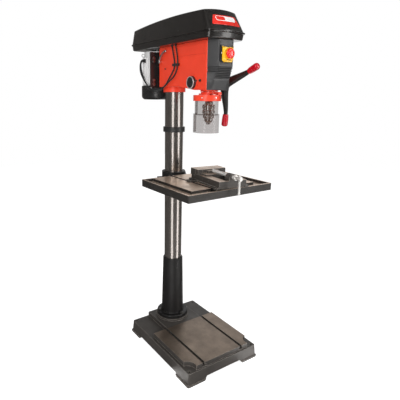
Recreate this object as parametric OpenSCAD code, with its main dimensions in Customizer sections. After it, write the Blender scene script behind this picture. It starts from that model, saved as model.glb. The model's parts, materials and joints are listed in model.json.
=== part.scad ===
// Floor-standing pillar drill: cast base, round column, tilting table with a drill vise,
// belt-driven head with a feed pinion and quill, keyed chuck and a hinged clear guard.
// Origin: middle of the base on the floor. +Z up, -Y towards the operator, +X to the right hand.

/* [Base and column] */
// Width of the base, side to side
base_w = 426; // [420:1:440]
// Length of the base, front to back
base_l = 542; // [540:1:560]
// Height of the painted base deck
base_h = 63; // [60:1:66]
// Height of the machined ways on the base
ways_z = 86; // [82:1:88]
// Side-to-side spacing of the floor bolt holes
floor_hole_x = 380; // [376:1:384]
// Front-to-back spacing of the floor bolt holes
floor_hole_y = 494; // [490:1:498]
// Radius of a floor bolt hole
floor_hole_r = 6.5; // [5:0.5:8]
// Outer diameter of the column
column_d = 92; // [92:1:92]
// Distance of the column axis behind the middle of the base
column_y = 179; // [175:1:183]
// Height of the top of the column above the floor
column_top = 1478; // [1470:1:1482]
// Height of the top of the cast column foot
foot_top = 430; // [420:1:432]

/* [Table] */
// Width of the table
table_w = 464; // [450:1:470]
// Front edge of the table
table_front = -273; // [-280:1:-265]
// Rear edge of the table
table_rear = 100; // [95:1:104]
// Height of the machined table surface
table_z = 892; // [888:1:896]
// Height of the painted table rim
table_rim_h = 32; // [30:1:34]
// Distance of each table slot from the middle
table_slot_x = 67; // [64:1:70]
// Width of the table and base slots
slot_w = 13; // [12:1:14]

/* [Vise] */
// Turn of the vise on the table
vise_turn = -7.35; // [-8:0.05:-6]
// Width of the vise body
vise_w = 138; // [134:1:142]
// Width of the vise jaws
jaw_w = 147; // [142:1:150]
// Height of the top of the vise rails
rail_z = 925; // [923:1:927]
// Height of the top of the jaws
jaw_z = 949; // [946:1:952]

/* [Head] */
// Width of the head casting
head_w = 124; // [122:1:126]
// Front edge of the head casting
head_front = -150; // [-152:1:-148]
// Rear face of the head casting
head_rear = 223; // [221:1:225]
// Height of the top of the head
head_top = 1493.5; // [1490:0.5:1494]
// Distance of the spindle axis in front of the middle of the base
spindle_y = -92; // [-93:0.5:-91]
// Height of the feed shaft
feed_z = 1324; // [1322:1:1326]
// Place of the feed shaft, front to back
feed_y = -55; // [-55:1:-55]
// Reach of the feed handles from their shaft
handle_reach = 193; // [188:1:194]
// Diameter of the quill
quill_d = 52; // [52:1:52]

/* [Belt cover] */
// Height of the underside of the belt tray
tray_z = 1494; // [1494:1:1496]
// Height of the joint between tray and lid
lid_split_z = 1521; // [1520:1:1523]
// Height of the side edges of the lid at their highest
lid_top = 1610; // [1604:1:1612]
// Rear edge of the belt cover
cover_rear = 433; // [428:1:436]

/* [Motor] */
// Place of the motor axis, front to back
motor_y = 335; // [333:1:337]
// Radius of the motor body over its fins
motor_r = 78; // [76:1:80]

/* [Hidden] */
$fn = 64;
column_r = column_d / 2;
quill_r = quill_d / 2;
fit = 0.05;        // running clearance on a radius
gap = 0.35;        // plain clearance between moving pieces
rack_turn = 20;    // where the lifting rack stands round the column, from +X
rack_module = 3;   // lifting rack tooth module
feed_module = 1.5; // feed rack tooth module
base_slot_x = 114.5;
pad_r = 88;
pad_z = 97;
flange_r = 84;
flange_z = 115;
foot_bolt_circle = 72;
foot_bolt_angles = [40, 160, 280];
ring_z = [1098, 1123];
tilt_z = 824;
tilt_disc_r = 32;
bracket_z = [780, 900];
collar_r = 60;
rack_z = [foot_top + 1, ring_z[0] - 1];
rack_tooth_y = 11;      // tip of the rack teeth off the radial line
pinion_pitch_r = 15;    // 10 teeth of module 3
pinion_off = rack_tooth_y - rack_module + pinion_pitch_r + 0.2;
crank_z = 840;
machined_x = 175;
machined_front = -216;
gutter_z = table_z - 12;
vise_at = [20, -160];
screw_z = 941;
vise_bolt_at = [99, 88];  // from the middle of the vise; stands in the left table slot
quill_z = [1262, 1436];
feed_pitch_r = 12.75;   // 17 teeth of module 1.5
feed_plane = feed_y - feed_pitch_r - spindle_y;
head_low = 1297;        // underside of the head at the front
head_low_rear = 1314;   // underside of the head at the rear
wall = 7;
pulley_z = 1505;
step_h = 16;
idler_y = 118;
spindle_steps = [32, 40, 48, 56];
idler_steps = [56, 48, 40, 32];
motor_steps = [28, 36, 44, 52];
front_belt_step = 1;
rear_belt_step = 2;
slide_rod_x = 53;        // outside the column
slide_rod_r = 6;
slide_rod_z = 1410;
plate_y = 246;
guard_at = [-6, -87];
guard_pin = [36.5, -120];
guard_r = 60.5;
guard_z = 1276;
shield_r = 53.5;
shield_z = [1191, 1272];
extension_r = 59.5;
extension_z = [1115, 1197];
chuck_r = 27.7;
chuck_core_r = 22.4;
jaw_lean = 10;
jaw_tip_z = 1150;
handle_angles = [157, 277, 37];
handle_x = 147;         // middle of the feed grips, out from the middle of the head
hub_x = [76.2, 134];    // inner and outer ends of the feed hub
flap_z = 1463;          // hinge of the switch flap
start_z = 1454.5;         // middle of the start button
stop_z = 1438;          // middle of the stop button and of the knob over it
hinge_y = cover_rear + 4.6;
hinge_z = lid_split_z - 2;
pan_floor = 3;          // thickness of the belt tray's floor
cover_side = 98;        // half width of the lid's sides at their foot
cover_front = -205;     // front corners of the lid at their foot
cover_corner = 30;      // radius of the front corners at their foot
sheet = 2.5;            // thickness of the belt cover's pressed sheet
gland_at = [336, 1441.5];

// Shared shapes

// A flat rectangle with round corners, made of exact arcs
module rounded_rect(w, l, r) {
    square([w - 2 * r, l], center = true);
    square([w, l - 2 * r], center = true);
    for (x = [-1, 1], y = [-1, 1]) translate([x * (w / 2 - r), y * (l / 2 - r)]) circle(r);
}

// A cylinder along X from x0 to x1
module rod_x(r, x0, x1, y, z) {
    translate([x0, y, z]) rotate([0, 90, 0]) cylinder(r = r, h = x1 - x0);
}

// A cylinder along Y from y0 to y1
module rod_y(r, y0, y1, x, z) {
    translate([x, y0, z]) rotate([-90, 0, 0]) cylinder(r = r, h = y1 - y0);
}

// A hexagon head bolt standing on z = 0 with its shank below
module hex_bolt(head_r, head_h, shank_r, shank_l) {
    cylinder(r = head_r, h = head_h, $fn = 6);
    translate([0, 0, -shank_l]) cylinder(r = shank_r, h = shank_l);
}

// A profile in the Y-Z plane, extruded across X
module across_x(w) {
    rotate([90, 0, 90]) translate([0, 0, -w / 2]) linear_extrude(w) children();
}

// A profile in the X-Z plane, extruded along Y from y0 to y1
module along_y(y0, y1) {
    translate([0, y1, 0]) rotate([90, 0, 0]) linear_extrude(y1 - y0) children();
}

// A ring round the Z axis
module ring(r_out, r_in, h) {
    difference() {
        cylinder(r = r_out, h = h);
        translate([0, 0, -1]) cylinder(r = r_in, h = h + 2);
    }
}

module at_column() { translate([0, column_y, 0]) children(); }
module at_spindle() { translate([0, spindle_y, 0]) children(); }
module at_vise() { translate([vise_at[0], vise_at[1], 0]) rotate([0, 0, vise_turn]) children(); }

// Local frame of the lifting rack: +X points out from the column through the rack
module at_rack() { at_column() rotate([0, 0, rack_turn]) children(); }

// Points of an arc in a plane
function arc(cx, cy, r, a0, a1, n) =
    [for (i = [0:n]) let (a = a0 + (a1 - a0) * i / n) [cx + r * cos(a), cy + r * sin(a)]];

// Base and column

// The hollow under the base, less its corner bosses, its ribs and the column boss
module base_hollow() {
    difference() {
        union() {
            translate([0, 0, -1]) linear_extrude(31) rounded_rect(base_w - 28, base_l - 28, 8);
            translate([0, 0, 29]) linear_extrude(23) rounded_rect(base_w - 42, base_l - 42, 8);
            // Deeper pockets between and beside the slots
            translate([-94, -236, 50]) cube([188, 290, 20]);
            for (x = [-178, 142]) translate([x, -186, 50]) cube([36, 240, 20]);
        }
        for (x = [-1, 1], y = [-1, 1])
            translate([x * floor_hole_x / 2, y * floor_hole_y / 2, -2]) cylinder(r = 20, h = 60);
        translate([0, column_y, 12]) cylinder(r = 88, h = 80);
        for (y = [-130, 10]) translate([-base_w / 2, y, 14]) cube([base_w, 8, 60]);
    }
    translate([0, column_y, -1]) cylinder(r = 58, h = 78);
    translate([0, column_y, -1]) cylinder(r = 36, h = 120);
}

// Outline of the machined ways: cut away round the front bolt holes
module ways_outline() {
    difference() {
        union() {
            translate([-190, -255]) square([380, 320]);
            translate([-base_slot_x + slot_w / 2, 60]) square([2 * base_slot_x - slot_w, 200]);
        }
        for (x = [-1, 1]) translate([x * 196, -243]) circle(41);
    }
}

module base() {
    color([0.28, 0.27, 0.25]) difference() {
        union() {
            linear_extrude(8) rounded_rect(base_w, base_l, 9);
            hull() {
                translate([0, 0, 7]) linear_extrude(1) rounded_rect(base_w - 9, base_l - 9, 8);
                translate([0, 0, base_h - 1]) linear_extrude(1)
                    rounded_rect(base_w - 17, base_l - 17, 8);
            }
            translate([0, 0, base_h - 1]) linear_extrude(ways_z - base_h + 1) ways_outline();
            translate([0, column_y, base_h]) cylinder(r = pad_r, h = pad_z - base_h);
        }
        base_hollow();
        // Arched cut-outs that leave the base on four corner feet
        along_y(-base_l, base_l) polygon([[-117, -1], [-101, 18], [101, 18], [117, -1]]);
        across_x(base_w * 2) polygon([[-176, -1], [-162, 14], [166, 14], [180, -1]]);
        // Two T-slots, open at the front
        for (x = [-1, 1] * base_slot_x) {
            translate([x - slot_w / 2, -300, ways_z - 19]) cube([slot_w, 374, 30]);
            translate([x - slot_w, -300, ways_z - 19]) cube([2 * slot_w, 374, 9]);
        }
        for (x = [-1, 1], y = [-1, 1])
            translate([x * floor_hole_x / 2, y * floor_hole_y / 2, -2])
                cylinder(r = floor_hole_r, h = base_h + 4);
        for (a = foot_bolt_angles) translate([0, column_y, 0]) rotate([0, 0, a])
            translate([foot_bolt_circle, 0, pad_z - 36]) cylinder(r = 6.1, h = 40);
    }
}

module column_foot() {
    color([0.17, 0.16, 0.16]) at_column() difference() {
        rotate_extrude($fn = 96) polygon([[column_r + fit, pad_z], [flange_r - 4, pad_z],
            [flange_r - 4, pad_z + 4], [flange_r, pad_z + 5], [flange_r, flange_z - 3],
            [flange_r - 3, flange_z], [61.6, flange_z], [60.4, flange_z + 4], [59.4, flange_z + 10],
            [52.5, foot_top - 3], [50.5, foot_top], [column_r + fit, foot_top]]);
        for (a = foot_bolt_angles) rotate([0, 0, a]) translate([foot_bolt_circle, 0, 90])
            cylinder(r = 6.6, h = 60);
    }
}

module foot_bolts() {
    color([0.55, 0.55, 0.56]) at_column() for (a = foot_bolt_angles)
        rotate([0, 0, a]) translate([foot_bolt_circle, 0, flange_z]) {
            cylinder(r = 10.2, h = 2.2);
            translate([0, 0, 2.2]) hex_bolt(9, 6.5, 6, 44);
        }
}

module column() {
    color([0.62, 0.60, 0.58]) at_column() translate([0, 0, pad_z])
        ring(column_r, column_r - 6, column_top - pad_z, $fn = 96);
}

module rack_ring() {
    color([0.10, 0.10, 0.10]) at_column() difference() {
        rotate_extrude($fn = 96) polygon([[column_r + fit, ring_z[0]], [53, ring_z[0]],
            [54.25, ring_z[0] + 1.2], [54.25, ring_z[1] - 1.2], [53, ring_z[1]],
            [column_r + fit, ring_z[1]]]);
        rotate([0, 0, -120]) rod_x(3.1, 40, 60, 0, 1110);
    }
}

// Grub screws of the rack ring and of the head casting
module set_screws() {
    color([0.12, 0.12, 0.12]) {
        at_column() rotate([0, 0, -120]) difference() {
            rod_x(3, column_r + 0.1, 53.5, 0, 1110);
            rod_x(1.6, 51, 55, 0, 1110, $fn = 6);
        }
        for (s = [-1, 1]) translate([0, 166, 1396]) rotate([0, s * 90, 0]) difference() {
            cylinder_between(4, column_r - 1, head_w / 2 + 1);
            translate([0, 0, head_w / 2 - 1]) cylinder(r = 2.2, h = 3, $fn = 6);
        }
        difference() {
            rod_x(3, -head_w / 2 - 0.8, -head_w / 2 + 6, -82, 1335);
            rod_x(1.6, -head_w / 2 - 2, -head_w / 2 + 2, -82, 1335, $fn = 6);
        }
    }
}

// Head

// Side outline of the head casting, drawn in by d
module head_side(d) {
    polygon([[head_front + d, head_low + d], [-66, head_low + d], [55, head_low_rear + d],
        [head_rear - d, head_low_rear + d], [head_rear - d, head_top - d],
        [head_front + d, head_top - d]]);
}

// Space for the quill, the column, the feed shaft and the slide rods
module head_bores() {
    at_spindle() {
        translate([0, 0, 1280]) cylinder(r = quill_r + fit, h = 168);
        translate([0, 0, 1440]) cylinder(r = 17.2, h = 80);
    }
    at_column() translate([0, 0, 1280]) cylinder(r = column_r + fit, h = 200, $fn = 96);
    rod_x(11 + fit, -80, 80, feed_y, feed_z);
    rod_x(15, -17, 17, feed_y, feed_z);
    for (x = [-1, 1])
        rod_y(slide_rod_r + fit, 100, head_rear + 10, x * slide_rod_x, slide_rod_z);
    for (s = [-1, 1]) translate([0, 166, 1396]) rotate([0, s * 90, 0])
        cylinder_between(4.1, column_r - 1, head_w);
    rod_x(3.1, -head_w, -head_w / 2 + 6.2, -82, 1335);
    rod_x(4 + fit, -80, -quill_r + 2, -109, 1336);
    // Threads of the idler post's bolts
    for (x = [-20, 20]) translate([x, idler_y, head_top - 12]) cylinder(r = 3.1, h = 20);
}

module head_casting() {
    color([0.88, 0.25, 0.13]) difference() {
        union() {
            difference() {
                intersection() {
                    across_x(head_w) head_side(0);
                    translate([0, (head_rear + head_front) / 2, 1200]) linear_extrude(400)
                        rounded_rect(head_w, head_rear - head_front, 7);
                }
                across_x(head_w - 2 * wall) head_side(wall);
            }
            intersection() {
                across_x(head_w - 2) head_side(2);
                union() {
                    at_spindle() translate([0, 0, 1290]) cylinder(r = 35, h = 210);
                    at_column() translate([0, 0, 1290]) cylinder(r = 54.5, h = 210);
                    rod_x(22, -head_w / 2, head_w / 2, feed_y, feed_z);
                    for (x = [-1, 1]) rod_y(12, 110, head_rear, x * slide_rod_x, slide_rod_z);
                    rod_x(9, -head_w / 2, -20, -109, 1336);
                    rod_x(7, -head_w / 2, -head_w / 2 + 10, -82, 1335);
                }
            }
            at_column() translate([0, 0, 1290]) cylinder(r = 54.5, h = 32, $fn = 96);
            at_spindle() translate([0, 0, 1290.8]) cylinder(r = 38, h = 14);
            rod_x(27, -head_w / 2 - 2, -head_w / 2 + 2, feed_y, feed_z + 4);
            rod_x(26, head_w / 2 - 2, head_w / 2 + 5, feed_y, feed_z);
        }
        head_bores();
        // Shallow parting line of the casting
        for (x = [-1, 1]) translate([x * head_w / 2 - 0.8, head_front - 1, 1441])
            cube([1.6, 214, 1.6]);
    }
}

// Outline of the front panel at one height: half width w at the front face, which stands at y
module panel_slice(z, y, w, d = 0) {
    translate([0, 0, z]) linear_extrude(0.5) polygon([[-head_w / 2 + d, head_front], [-w + d, y + d],
        [w - d, y + d], [head_w / 2 - d, head_front]]);
}

module panel_solid(d, top) {
    hull() {
        panel_slice(top, -195, 38, d);
        panel_slice(1388, -195, 38, d);
    }
    hull() {
        panel_slice(1388, -195, 38, d);
        panel_slice(1343, -175, 41, d);
    }
    hull() {
        panel_slice(1343, -175, 41, d);
        panel_slice(1296 + d, -156, 35, d);
    }
}

module front_panel() {
    color([0.25, 0.25, 0.25]) difference() {
        union() {
            panel_solid(0, head_top - 0.5);
            // Grip ribs across the sloping front
            for (i = [0:7]) let (t = i / 7)
                translate([-36, -195.7 + 18 * t, 1383.5 - 40.5 * t]) cube([72, 8, 3]);
        }
        difference() {
            panel_solid(3, head_top + 5);
            translate([-80, -160.5, 1290]) cube([160, 8, 8]);
        }
        // Window behind the switch
        translate([-24, -200, 1412]) cube([48, 12, 56]);
        rod_y(2.2, -200, -180, 28.5, 1440);
        rod_y(2.2, -200, -180, -28.5, 1440);
    }
}

// Cap over the return spring, on a turned rim
module spring_cap() {
    outer = -head_w / 2 - 15;
    color([0.09, 0.09, 0.09]) difference() {
        union() {
            rod_x(26.6, -head_w / 2 - 4.2, -head_w / 2 - 2.1, feed_y, feed_z + 4);
            rod_x(26, outer + 1, -head_w / 2 - 4, feed_y, feed_z + 4);
            rod_x(24.5, outer, outer + 2, feed_y, feed_z + 4);
        }
        rod_x(23.6, outer + 3, -head_w / 2, feed_y, feed_z + 4);
    }
}

// Flat spiral return spring round the end of the feed shaft
module return_spring() {
    turns = 2.6;
    steps = 62;
    outer = [for (i = [0:steps]) let (a = 360 * turns * i / steps, r = 12.8 + 5.4 * i / steps)
        [r * cos(a), r * sin(a)]];
    inner = [for (i = [steps:-1:0]) let (a = 360 * turns * i / steps, r = 11.6 + 5.4 * i / steps)
        [r * cos(a), r * sin(a)]];
    color([0.45, 0.47, 0.52]) translate([-head_w / 2 - 11, feed_y, feed_z]) rotate([90, 0, 90])
        linear_extrude(7) polygon(concat(outer, inner));
}

module switch_body() {
    color([0.08, 0.08, 0.08]) difference() {
        union() {
            along_y(-200.5, -195.2) translate([0, 1440]) rounded_rect(66, 66, 6);
            along_y(-196, -182) translate([0, 1440]) square([46, 52], center = true);
            // Hinge lugs at the top
            for (x = [-1, 1]) rod_x(3.4, x * 23 - 2.5, x * 23 + 2.5, -204, flap_z);
            for (x = [-1, 1]) translate([x * 23 - 2.5, -204, flap_z - 3.4]) cube([5, 5, 6.8]);
            for (s = [-1, 1]) translate([0, -204, flap_z]) rotate([0, s * 90, 0])
                cylinder_between(1.2, 24, 27.6);
        }
        rod_y(6.4, -210, -186, 0, start_z);
        rod_y(9.5, -210, -186, 0, stop_z);
        for (x = [-1, 1]) rod_y(2.2, -210, -180, x * 28.5, 1440);
    }
}

module start_button() {
    color([0.10, 0.50, 0.16]) rod_y(6, -204.5, -191, 0, start_z);
}

module stop_button() {
    color([0.75, 0.06, 0.05]) rod_y(9.1, -206, -191, 0, stop_z);
}

// Yellow cover over the buttons, hinged at its top edge
module switch_flap() {
    color([0.96, 0.78, 0.12]) difference() {
        union() {
            hull() {
                along_y(-203, -202) translate([0, 1436.5]) rounded_rect(56, 57, 3);
                along_y(-212, -211) translate([0, 1436.5]) rounded_rect(48, 49, 11);
            }
            // Lip to lift it by
            hull() {
                along_y(-203, -202) translate([0, 1408]) rounded_rect(40, 6, 2.5);
                along_y(-216, -215) translate([0, 1409]) rounded_rect(32, 6, 2.5);
            }
        }
        along_y(-208.5, -190) translate([0, 1436]) rounded_rect(45, 50, 6);
        translate([-40, -202.4, 1400]) cube([80, 10, 90]);
        // Room for the hinge lugs, and the pin hole through its cheeks
        for (x = [-1, 1]) translate([x * 23 - 3, -209, flap_z - 6]) cube([6, 12, 12]);
        rod_x(1.2 + fit, -40, 40, -204, flap_z);
        rod_y(6.6, -230, -205, 0, stop_z);
    }
}

// Mushroom knob in the flap that reaches the stop button
module stop_knob() {
    color([0.80, 0.07, 0.06]) translate([0, 0, stop_z]) rotate([90, 0, 0]) rotate_extrude()
        polygon([[0, 206.3], [6.2, 206.3], [6.2, 216.6], [19.4, 217.4], [20.4, 220], [19.6, 224],
            [15.5, 227], [8, 228.4], [0, 228.8]]);
}

module quill_lock() {
    color([0.09, 0.09, 0.09]) {
        rod_x(4, -66, -quill_r - 0.4, -109, 1336);
        translate([-head_w / 2 - 6.6, -109, 1336]) rotate([0, 90, 0]) rotate_extrude()
            polygon([[0, 0], [3.8, 0], [5.4, 1.2], [5.4, 5], [4.2, 6.2], [0, 6.2]]);
    }
}

// Belt cover

// Outline of the belt cover at one height: half width w, front corners of radius rf that stand at
// y = front, a front face bowed forward by 10, and rear corners of radius rr
function cover_plan(w, front, rear, rf, rr) =
    let (lean = 16, xb = w - rf + rf * sin(lean), yb = front + rf - rf * cos(lean))
    concat([for (i = [1:9]) let (x = xb * (i / 5 - 1)) [x, yb - 10 * (1 - pow(x / xb, 2))]],
        arc(w - rf, front + rf, rf, lean - 90, 0, 6),
        arc(w - rr, rear - rr, rr, 0, 90, 4),
        arc(rr - w, rear - rr, rr, 90, 180, 4),
        arc(rf - w, front + rf, rf, 180, 270 - lean, 6));

module cover_slice(z, w, front, rear, rf, rr, h = 0.4) {
    translate([0, 0, z]) linear_extrude(h) polygon(cover_plan(w, front, rear, rf, rr));
}

module belt_tray() {
    lip = lid_split_z - 4;
    color([0.12, 0.12, 0.12]) difference() {
        union() {
            hull() {
                cover_slice(tray_z, cover_side - 5, cover_front + 9, cover_rear - 8, 26, 10);
                cover_slice(tray_z + 6, cover_side - 0.5, cover_front + 3, cover_rear - 4, 30, 12);
                cover_slice(lip, cover_side + 0.5, cover_front + 1, cover_rear - 3, 30, 12);
            }
            hull() {
                cover_slice(lip, cover_side + 2, cover_front - 1, cover_rear - 1, 31, 12);
                cover_slice(lip + 3.6, cover_side + 5, cover_front - 5, cover_rear, 33, 12);
            }
            for (x = [-1, 1]) rod_x(4, x * 60 - 10, x * 60 + 10, hinge_y, hinge_z);
            for (x = [-1, 1]) translate([x * 60 - 10, cover_rear - 4, lid_split_z - 6])
                cube([20, 8, 5]);
        }
        hull() {
            cover_slice(tray_z + pan_floor, cover_side - 7, cover_front + 11, cover_rear - 10, 24, 9);
            cover_slice(lid_split_z + 1, cover_side - 2, cover_front + 3.5, cover_rear - 5.5, 28, 10);
        }
        at_spindle() translate([0, 0, 1490]) cylinder(r = 24, h = 20);
        translate([0, motor_y, 1490]) cylinder(r = 34, h = 20);
        translate([-34, motor_y - 14, 1490]) cube([68, 14, 20]);
        rod_x(2 + fit, -80, 80, hinge_y, hinge_z);
        for (route = [motor_lead_route, switch_lead_route])
            translate([route[0][0], route[0][1] - 1.2, 1490]) cylinder(r = 4.8, h = 20);
        for (x = [-20, 20]) translate([x, idler_y, 1490]) cylinder(r = 3.3, h = 20);
    }
}

// Centres of the rounding at the lid's top: round the front, then across the crown
lid_round = concat(arc(68, -135, 14, -74, 0, 3), arc(-68, -135, 14, 180, 254, 3),
    [for (x = [-50, -25, 0, 25, 50]) [x, 0.0019 * x * x - 158.5]],
    [for (y = [-40, 50, 140, 230, 320, 418], x = [-82, -41, 0, 41, 82]) [x, y]]);

// Height of those centres: the lid falls away to both ends and to both sides
function lid_round_z(x, y) = lid_top - 6 - pow(y - 50, 2) / 7640 + 5 * (1 - pow(x / 82, 2));

// The outside of the lid, drawn in by d
module lid_solid(d) {
    hull() {
        cover_slice(lid_split_z + 3 - 2 * d, cover_side - d, cover_front + d, cover_rear - 2 - d,
            cover_corner - d, 10);
        for (p = lid_round) let (k = 1 - d / 82, y = max(p[1] + (p[1] < -100 ? d : 0), -400))
            translate([p[0] * k, min(y, 418 - d), lid_round_z(p[0], p[1]) - d])
                sphere(r = 6, $fn = 16);
    }
}

module belt_lid() {
    rim_z = lid_split_z + 0.4;
    color([0.11, 0.10, 0.10]) difference() {
        union() {
            lid_solid(0);
            cover_slice(rim_z, cover_side + 5, cover_front - 5, cover_rear - 0.5, 33, 12, 2.8);
            for (x = [-1, 1]) rod_x(4, x * 39 - 10, x * 39 + 10, hinge_y, hinge_z);
            for (x = [-1, 1]) translate([x * 39 - 10, cover_rear - 2, lid_split_z])
                cube([20, 8, 3]);
        }
        lid_solid(sheet);
        cover_slice(lid_split_z - 12, cover_side - 3, cover_front + 4, cover_rear - 5, 28, 8, 17);
        rod_x(2 + fit, -80, 80, hinge_y, hinge_z);
        translate([-29, cover_rear - 0.4, lid_split_z - 8]) cube([58, 12, 16]);
    }
}

module lid_hinge_pin() {
    color([0.6, 0.6, 0.62]) rod_x(2, -73, 73, hinge_y, hinge_z);
}

// Belt drive

// A stepped V-belt pulley on its bore; steps are listed from the bottom up
module step_pulley(steps, bore) {
    difference() {
        for (i = [0:len(steps) - 1]) let (r = steps[i], z = i * step_h)
            translate([0, 0, z]) rotate_extrude() polygon([[0, 0], [r, 0], [r, 2.6],
                [r - 8, 5.4], [r - 8, 10.6], [r, 13.4], [r, step_h], [0, step_h]]);
        translate([0, 0, -1]) cylinder(r = bore, h = 4 * step_h + 2);
    }
}

module spindle_pulley() {
    color([0.66, 0.67, 0.68]) at_spindle() {
        translate([0, 0, pulley_z]) step_pulley(spindle_steps, 10.6);
        translate([0, 0, 1450]) ring(15.5, 10.6, pulley_z - 1450 + 1);
    }
}

module idler_pulley() {
    color([0.66, 0.67, 0.68]) translate([0, idler_y, pulley_z]) step_pulley(idler_steps, 8 + fit);
}

module motor_pulley() {
    color([0.66, 0.67, 0.68]) translate([0, motor_y, 0]) {
        translate([0, 0, pulley_z]) step_pulley(motor_steps, 6);
        cylinder_between(8, 1270, pulley_z + 4 * step_h - 2);
    }
}

// A vertical cylinder between two heights
module cylinder_between(r, z0, z1) { translate([0, 0, z0]) cylinder(r = r, h = z1 - z0); }

module idler_post() {
    color([0.35, 0.36, 0.37]) translate([0, idler_y, 0]) {
        difference() {
            translate([-30, -14, tray_z + pan_floor]) cube([60, 28, 5]);
            for (x = [-20, 20]) translate([x, 0, 1490]) cylinder(r = 3.3, h = 20);
        }
        cylinder_between(8, tray_z + pan_floor + 4, pulley_z + 4 * step_h + 5);
        for (x = [-20, 20]) translate([x, 0, tray_z + pan_floor + 4.9]) hex_bolt(5.5, 2.5, 3, 14);
    }
}

// The closed outline of a belt drawn tight round two circles on the Y axis
module belt_outline(y0, r0, y1, r1) {
    s = (r0 - r1) / (y1 - y0);
    c = sqrt(1 - s * s);
    translate([0, y0]) circle(r0);
    translate([0, y1]) circle(r1);
    polygon([[r0 * c, y0 + r0 * s], [r1 * c, y1 + r1 * s], [-r1 * c, y1 + r1 * s],
        [-r0 * c, y0 + r0 * s]]);
}

// One V-belt round two pulleys at the given step, in layers that widen outwards
module belt_loop(y0, r0, y1, r1, step) {
    zc = pulley_z + step * step_h + step_h / 2;
    for (layer = [[7.4, 4.6, 2.3], [6, 3.4, 2.8], [4.4, 1.2, 3.4]])
        translate([0, 0, zc - layer[2]]) linear_extrude(2 * layer[2]) difference() {
            belt_outline(y0, r0 - layer[1], y1, r1 - layer[1]);
            belt_outline(y0, r0 - layer[0], y1, r1 - layer[0]);
        }
}

module belts() {
    color([0.06, 0.06, 0.06]) {
        belt_loop(spindle_y, spindle_steps[front_belt_step], idler_y, idler_steps[front_belt_step],
            front_belt_step);
        belt_loop(idler_y, idler_steps[rear_belt_step], motor_y, motor_steps[rear_belt_step],
            rear_belt_step);
    }
}

// Motor

module motor_body() {
    color([0.74, 0.75, 0.76]) translate([0, motor_y, 0]) difference() {
        union() {
            cylinder_between(motor_r - 5, 1322, 1462);
            // Cooling fins
            for (a = [0:10:350]) rotate([0, 0, a])
                translate([motor_r - 8, -1.4, 1324]) cube([8, 2.8, 134]);
            // Top bell
            cylinder_between(68, 1461, 1486);
            cylinder_between(30, 1486, 1490);
            // Flat pads that bolt to the motor plate
            for (z = [1321.7, 1436]) translate([-88, plate_y + 8.2 - motor_y, z]) cube([176, 14, 22]);
            translate([-60, plate_y + 8.2 - motor_y, 1330]) cube([120, 30, 110]);
            // Seat of the lead gland
            rod_x(9, -motor_r + 6, -motor_r + 12, gland_at[0] - motor_y, gland_at[1]);
            // Lifting eye on the bell
            translate([-62, 41, 1471]) rotate([90, 0, -33]) rotate_extrude()
                translate([7, 0]) circle(2.6);
        }
        cylinder_between(8.5, 1300, 1500);
        translate([0, 0, 1335]) cylinder(r = 60, h = 112);
        translate([0, 0, 1440]) cylinder(r = 58, h = 36);
        for (x = [-76, 76], z = [1327, 1447])
            rod_y(4.1, plate_y - motor_y, plate_y - motor_y + 40, x, z);
        rod_x(6.1, -motor_r, -50, gland_at[0] - motor_y, gland_at[1]);
        rod_x(9.6, -motor_r - 1, -motor_r + 6, gland_at[0] - motor_y, gland_at[1]);
    }
}

module fan_cover() {
    color([0.07, 0.07, 0.07]) translate([0, motor_y, 0]) difference() {
        rotate_extrude($fn = 96) polygon(concat([[0, 1253]], arc(65, 1271, 18, -90, 0, 8),
            [[83, 1318], [80, 1321.5], [0, 1321.5]]));
        rotate_extrude($fn = 96) polygon(concat([[0, 1255.5]], arc(64, 1272, 16.5, -90, 0, 8),
            [[80.5, 1317], [70, 1319], [0, 1319]]));
        for (r = [18:11:51]) translate([0, 0, 1250]) for (a = [0:60:300])
            rotate([0, 0, a]) translate([r, 0, 0]) cylinder(r = 3.6, h = 10);
        translate([0, 0, 1300]) cylinder(r = 20, h = 40);
    }
}

module motor_plate() {
    color([0.08, 0.08, 0.08]) difference() {
        along_y(plate_y, plate_y + 8) translate([0, 1394]) rounded_rect(190, 166, 4);
        for (x = [-1, 1], z = [1327, 1345, 1433, 1447])
            rod_y(4.1, plate_y - 5, plate_y + 20, x * 76, z);
        for (x = [-1, 1]) rod_y(4.1, plate_y - 5, plate_y + 20, x * slide_rod_x, slide_rod_z);
        translate([-20, plate_y - 2, 1350]) cube([40, 14, 70]);
        // Room for the rim of the fan cover
        translate([0, motor_y, 1300]) cylinder(r = 84.5, h = 22.5);
    }
}

module slide_rods() {
    color([0.66, 0.66, 0.67]) for (x = [-1, 1]) {
        rod_y(slide_rod_r, 130, plate_y - 0.2, x * slide_rod_x, slide_rod_z);
        rod_y(4, plate_y - 1, plate_y + 8, x * slide_rod_x, slide_rod_z);
    }
}

// Bolts of the motor plate, and the gland that both leads enter
module motor_fittings() {
    color([0.70, 0.70, 0.71]) for (x = [-1, 1]) {
        for (z = [1327, 1447]) translate([x * 76, plate_y - 0.1, z]) rotate([90, 0, 0])
            hex_bolt(6.5, 5, 4, 20);
        for (z = [1345, 1433]) translate([x * 76, plate_y - 0.1, z]) rotate([90, 0, 0])
            hex_bolt(5, 3.5, 4, 7.8);
    }
    color([0.06, 0.06, 0.06]) translate([-motor_r - 6, gland_at[0], gland_at[1]])
        rotate([0, 90, 0]) {
            cylinder(r = 7.4, h = 6);
            translate([0, 0, 5]) cylinder(r = 8.6, h = 6.8, $fn = 6);
            translate([0, 0, 11]) cylinder(r = 6, h = 18);
        }
}

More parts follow.
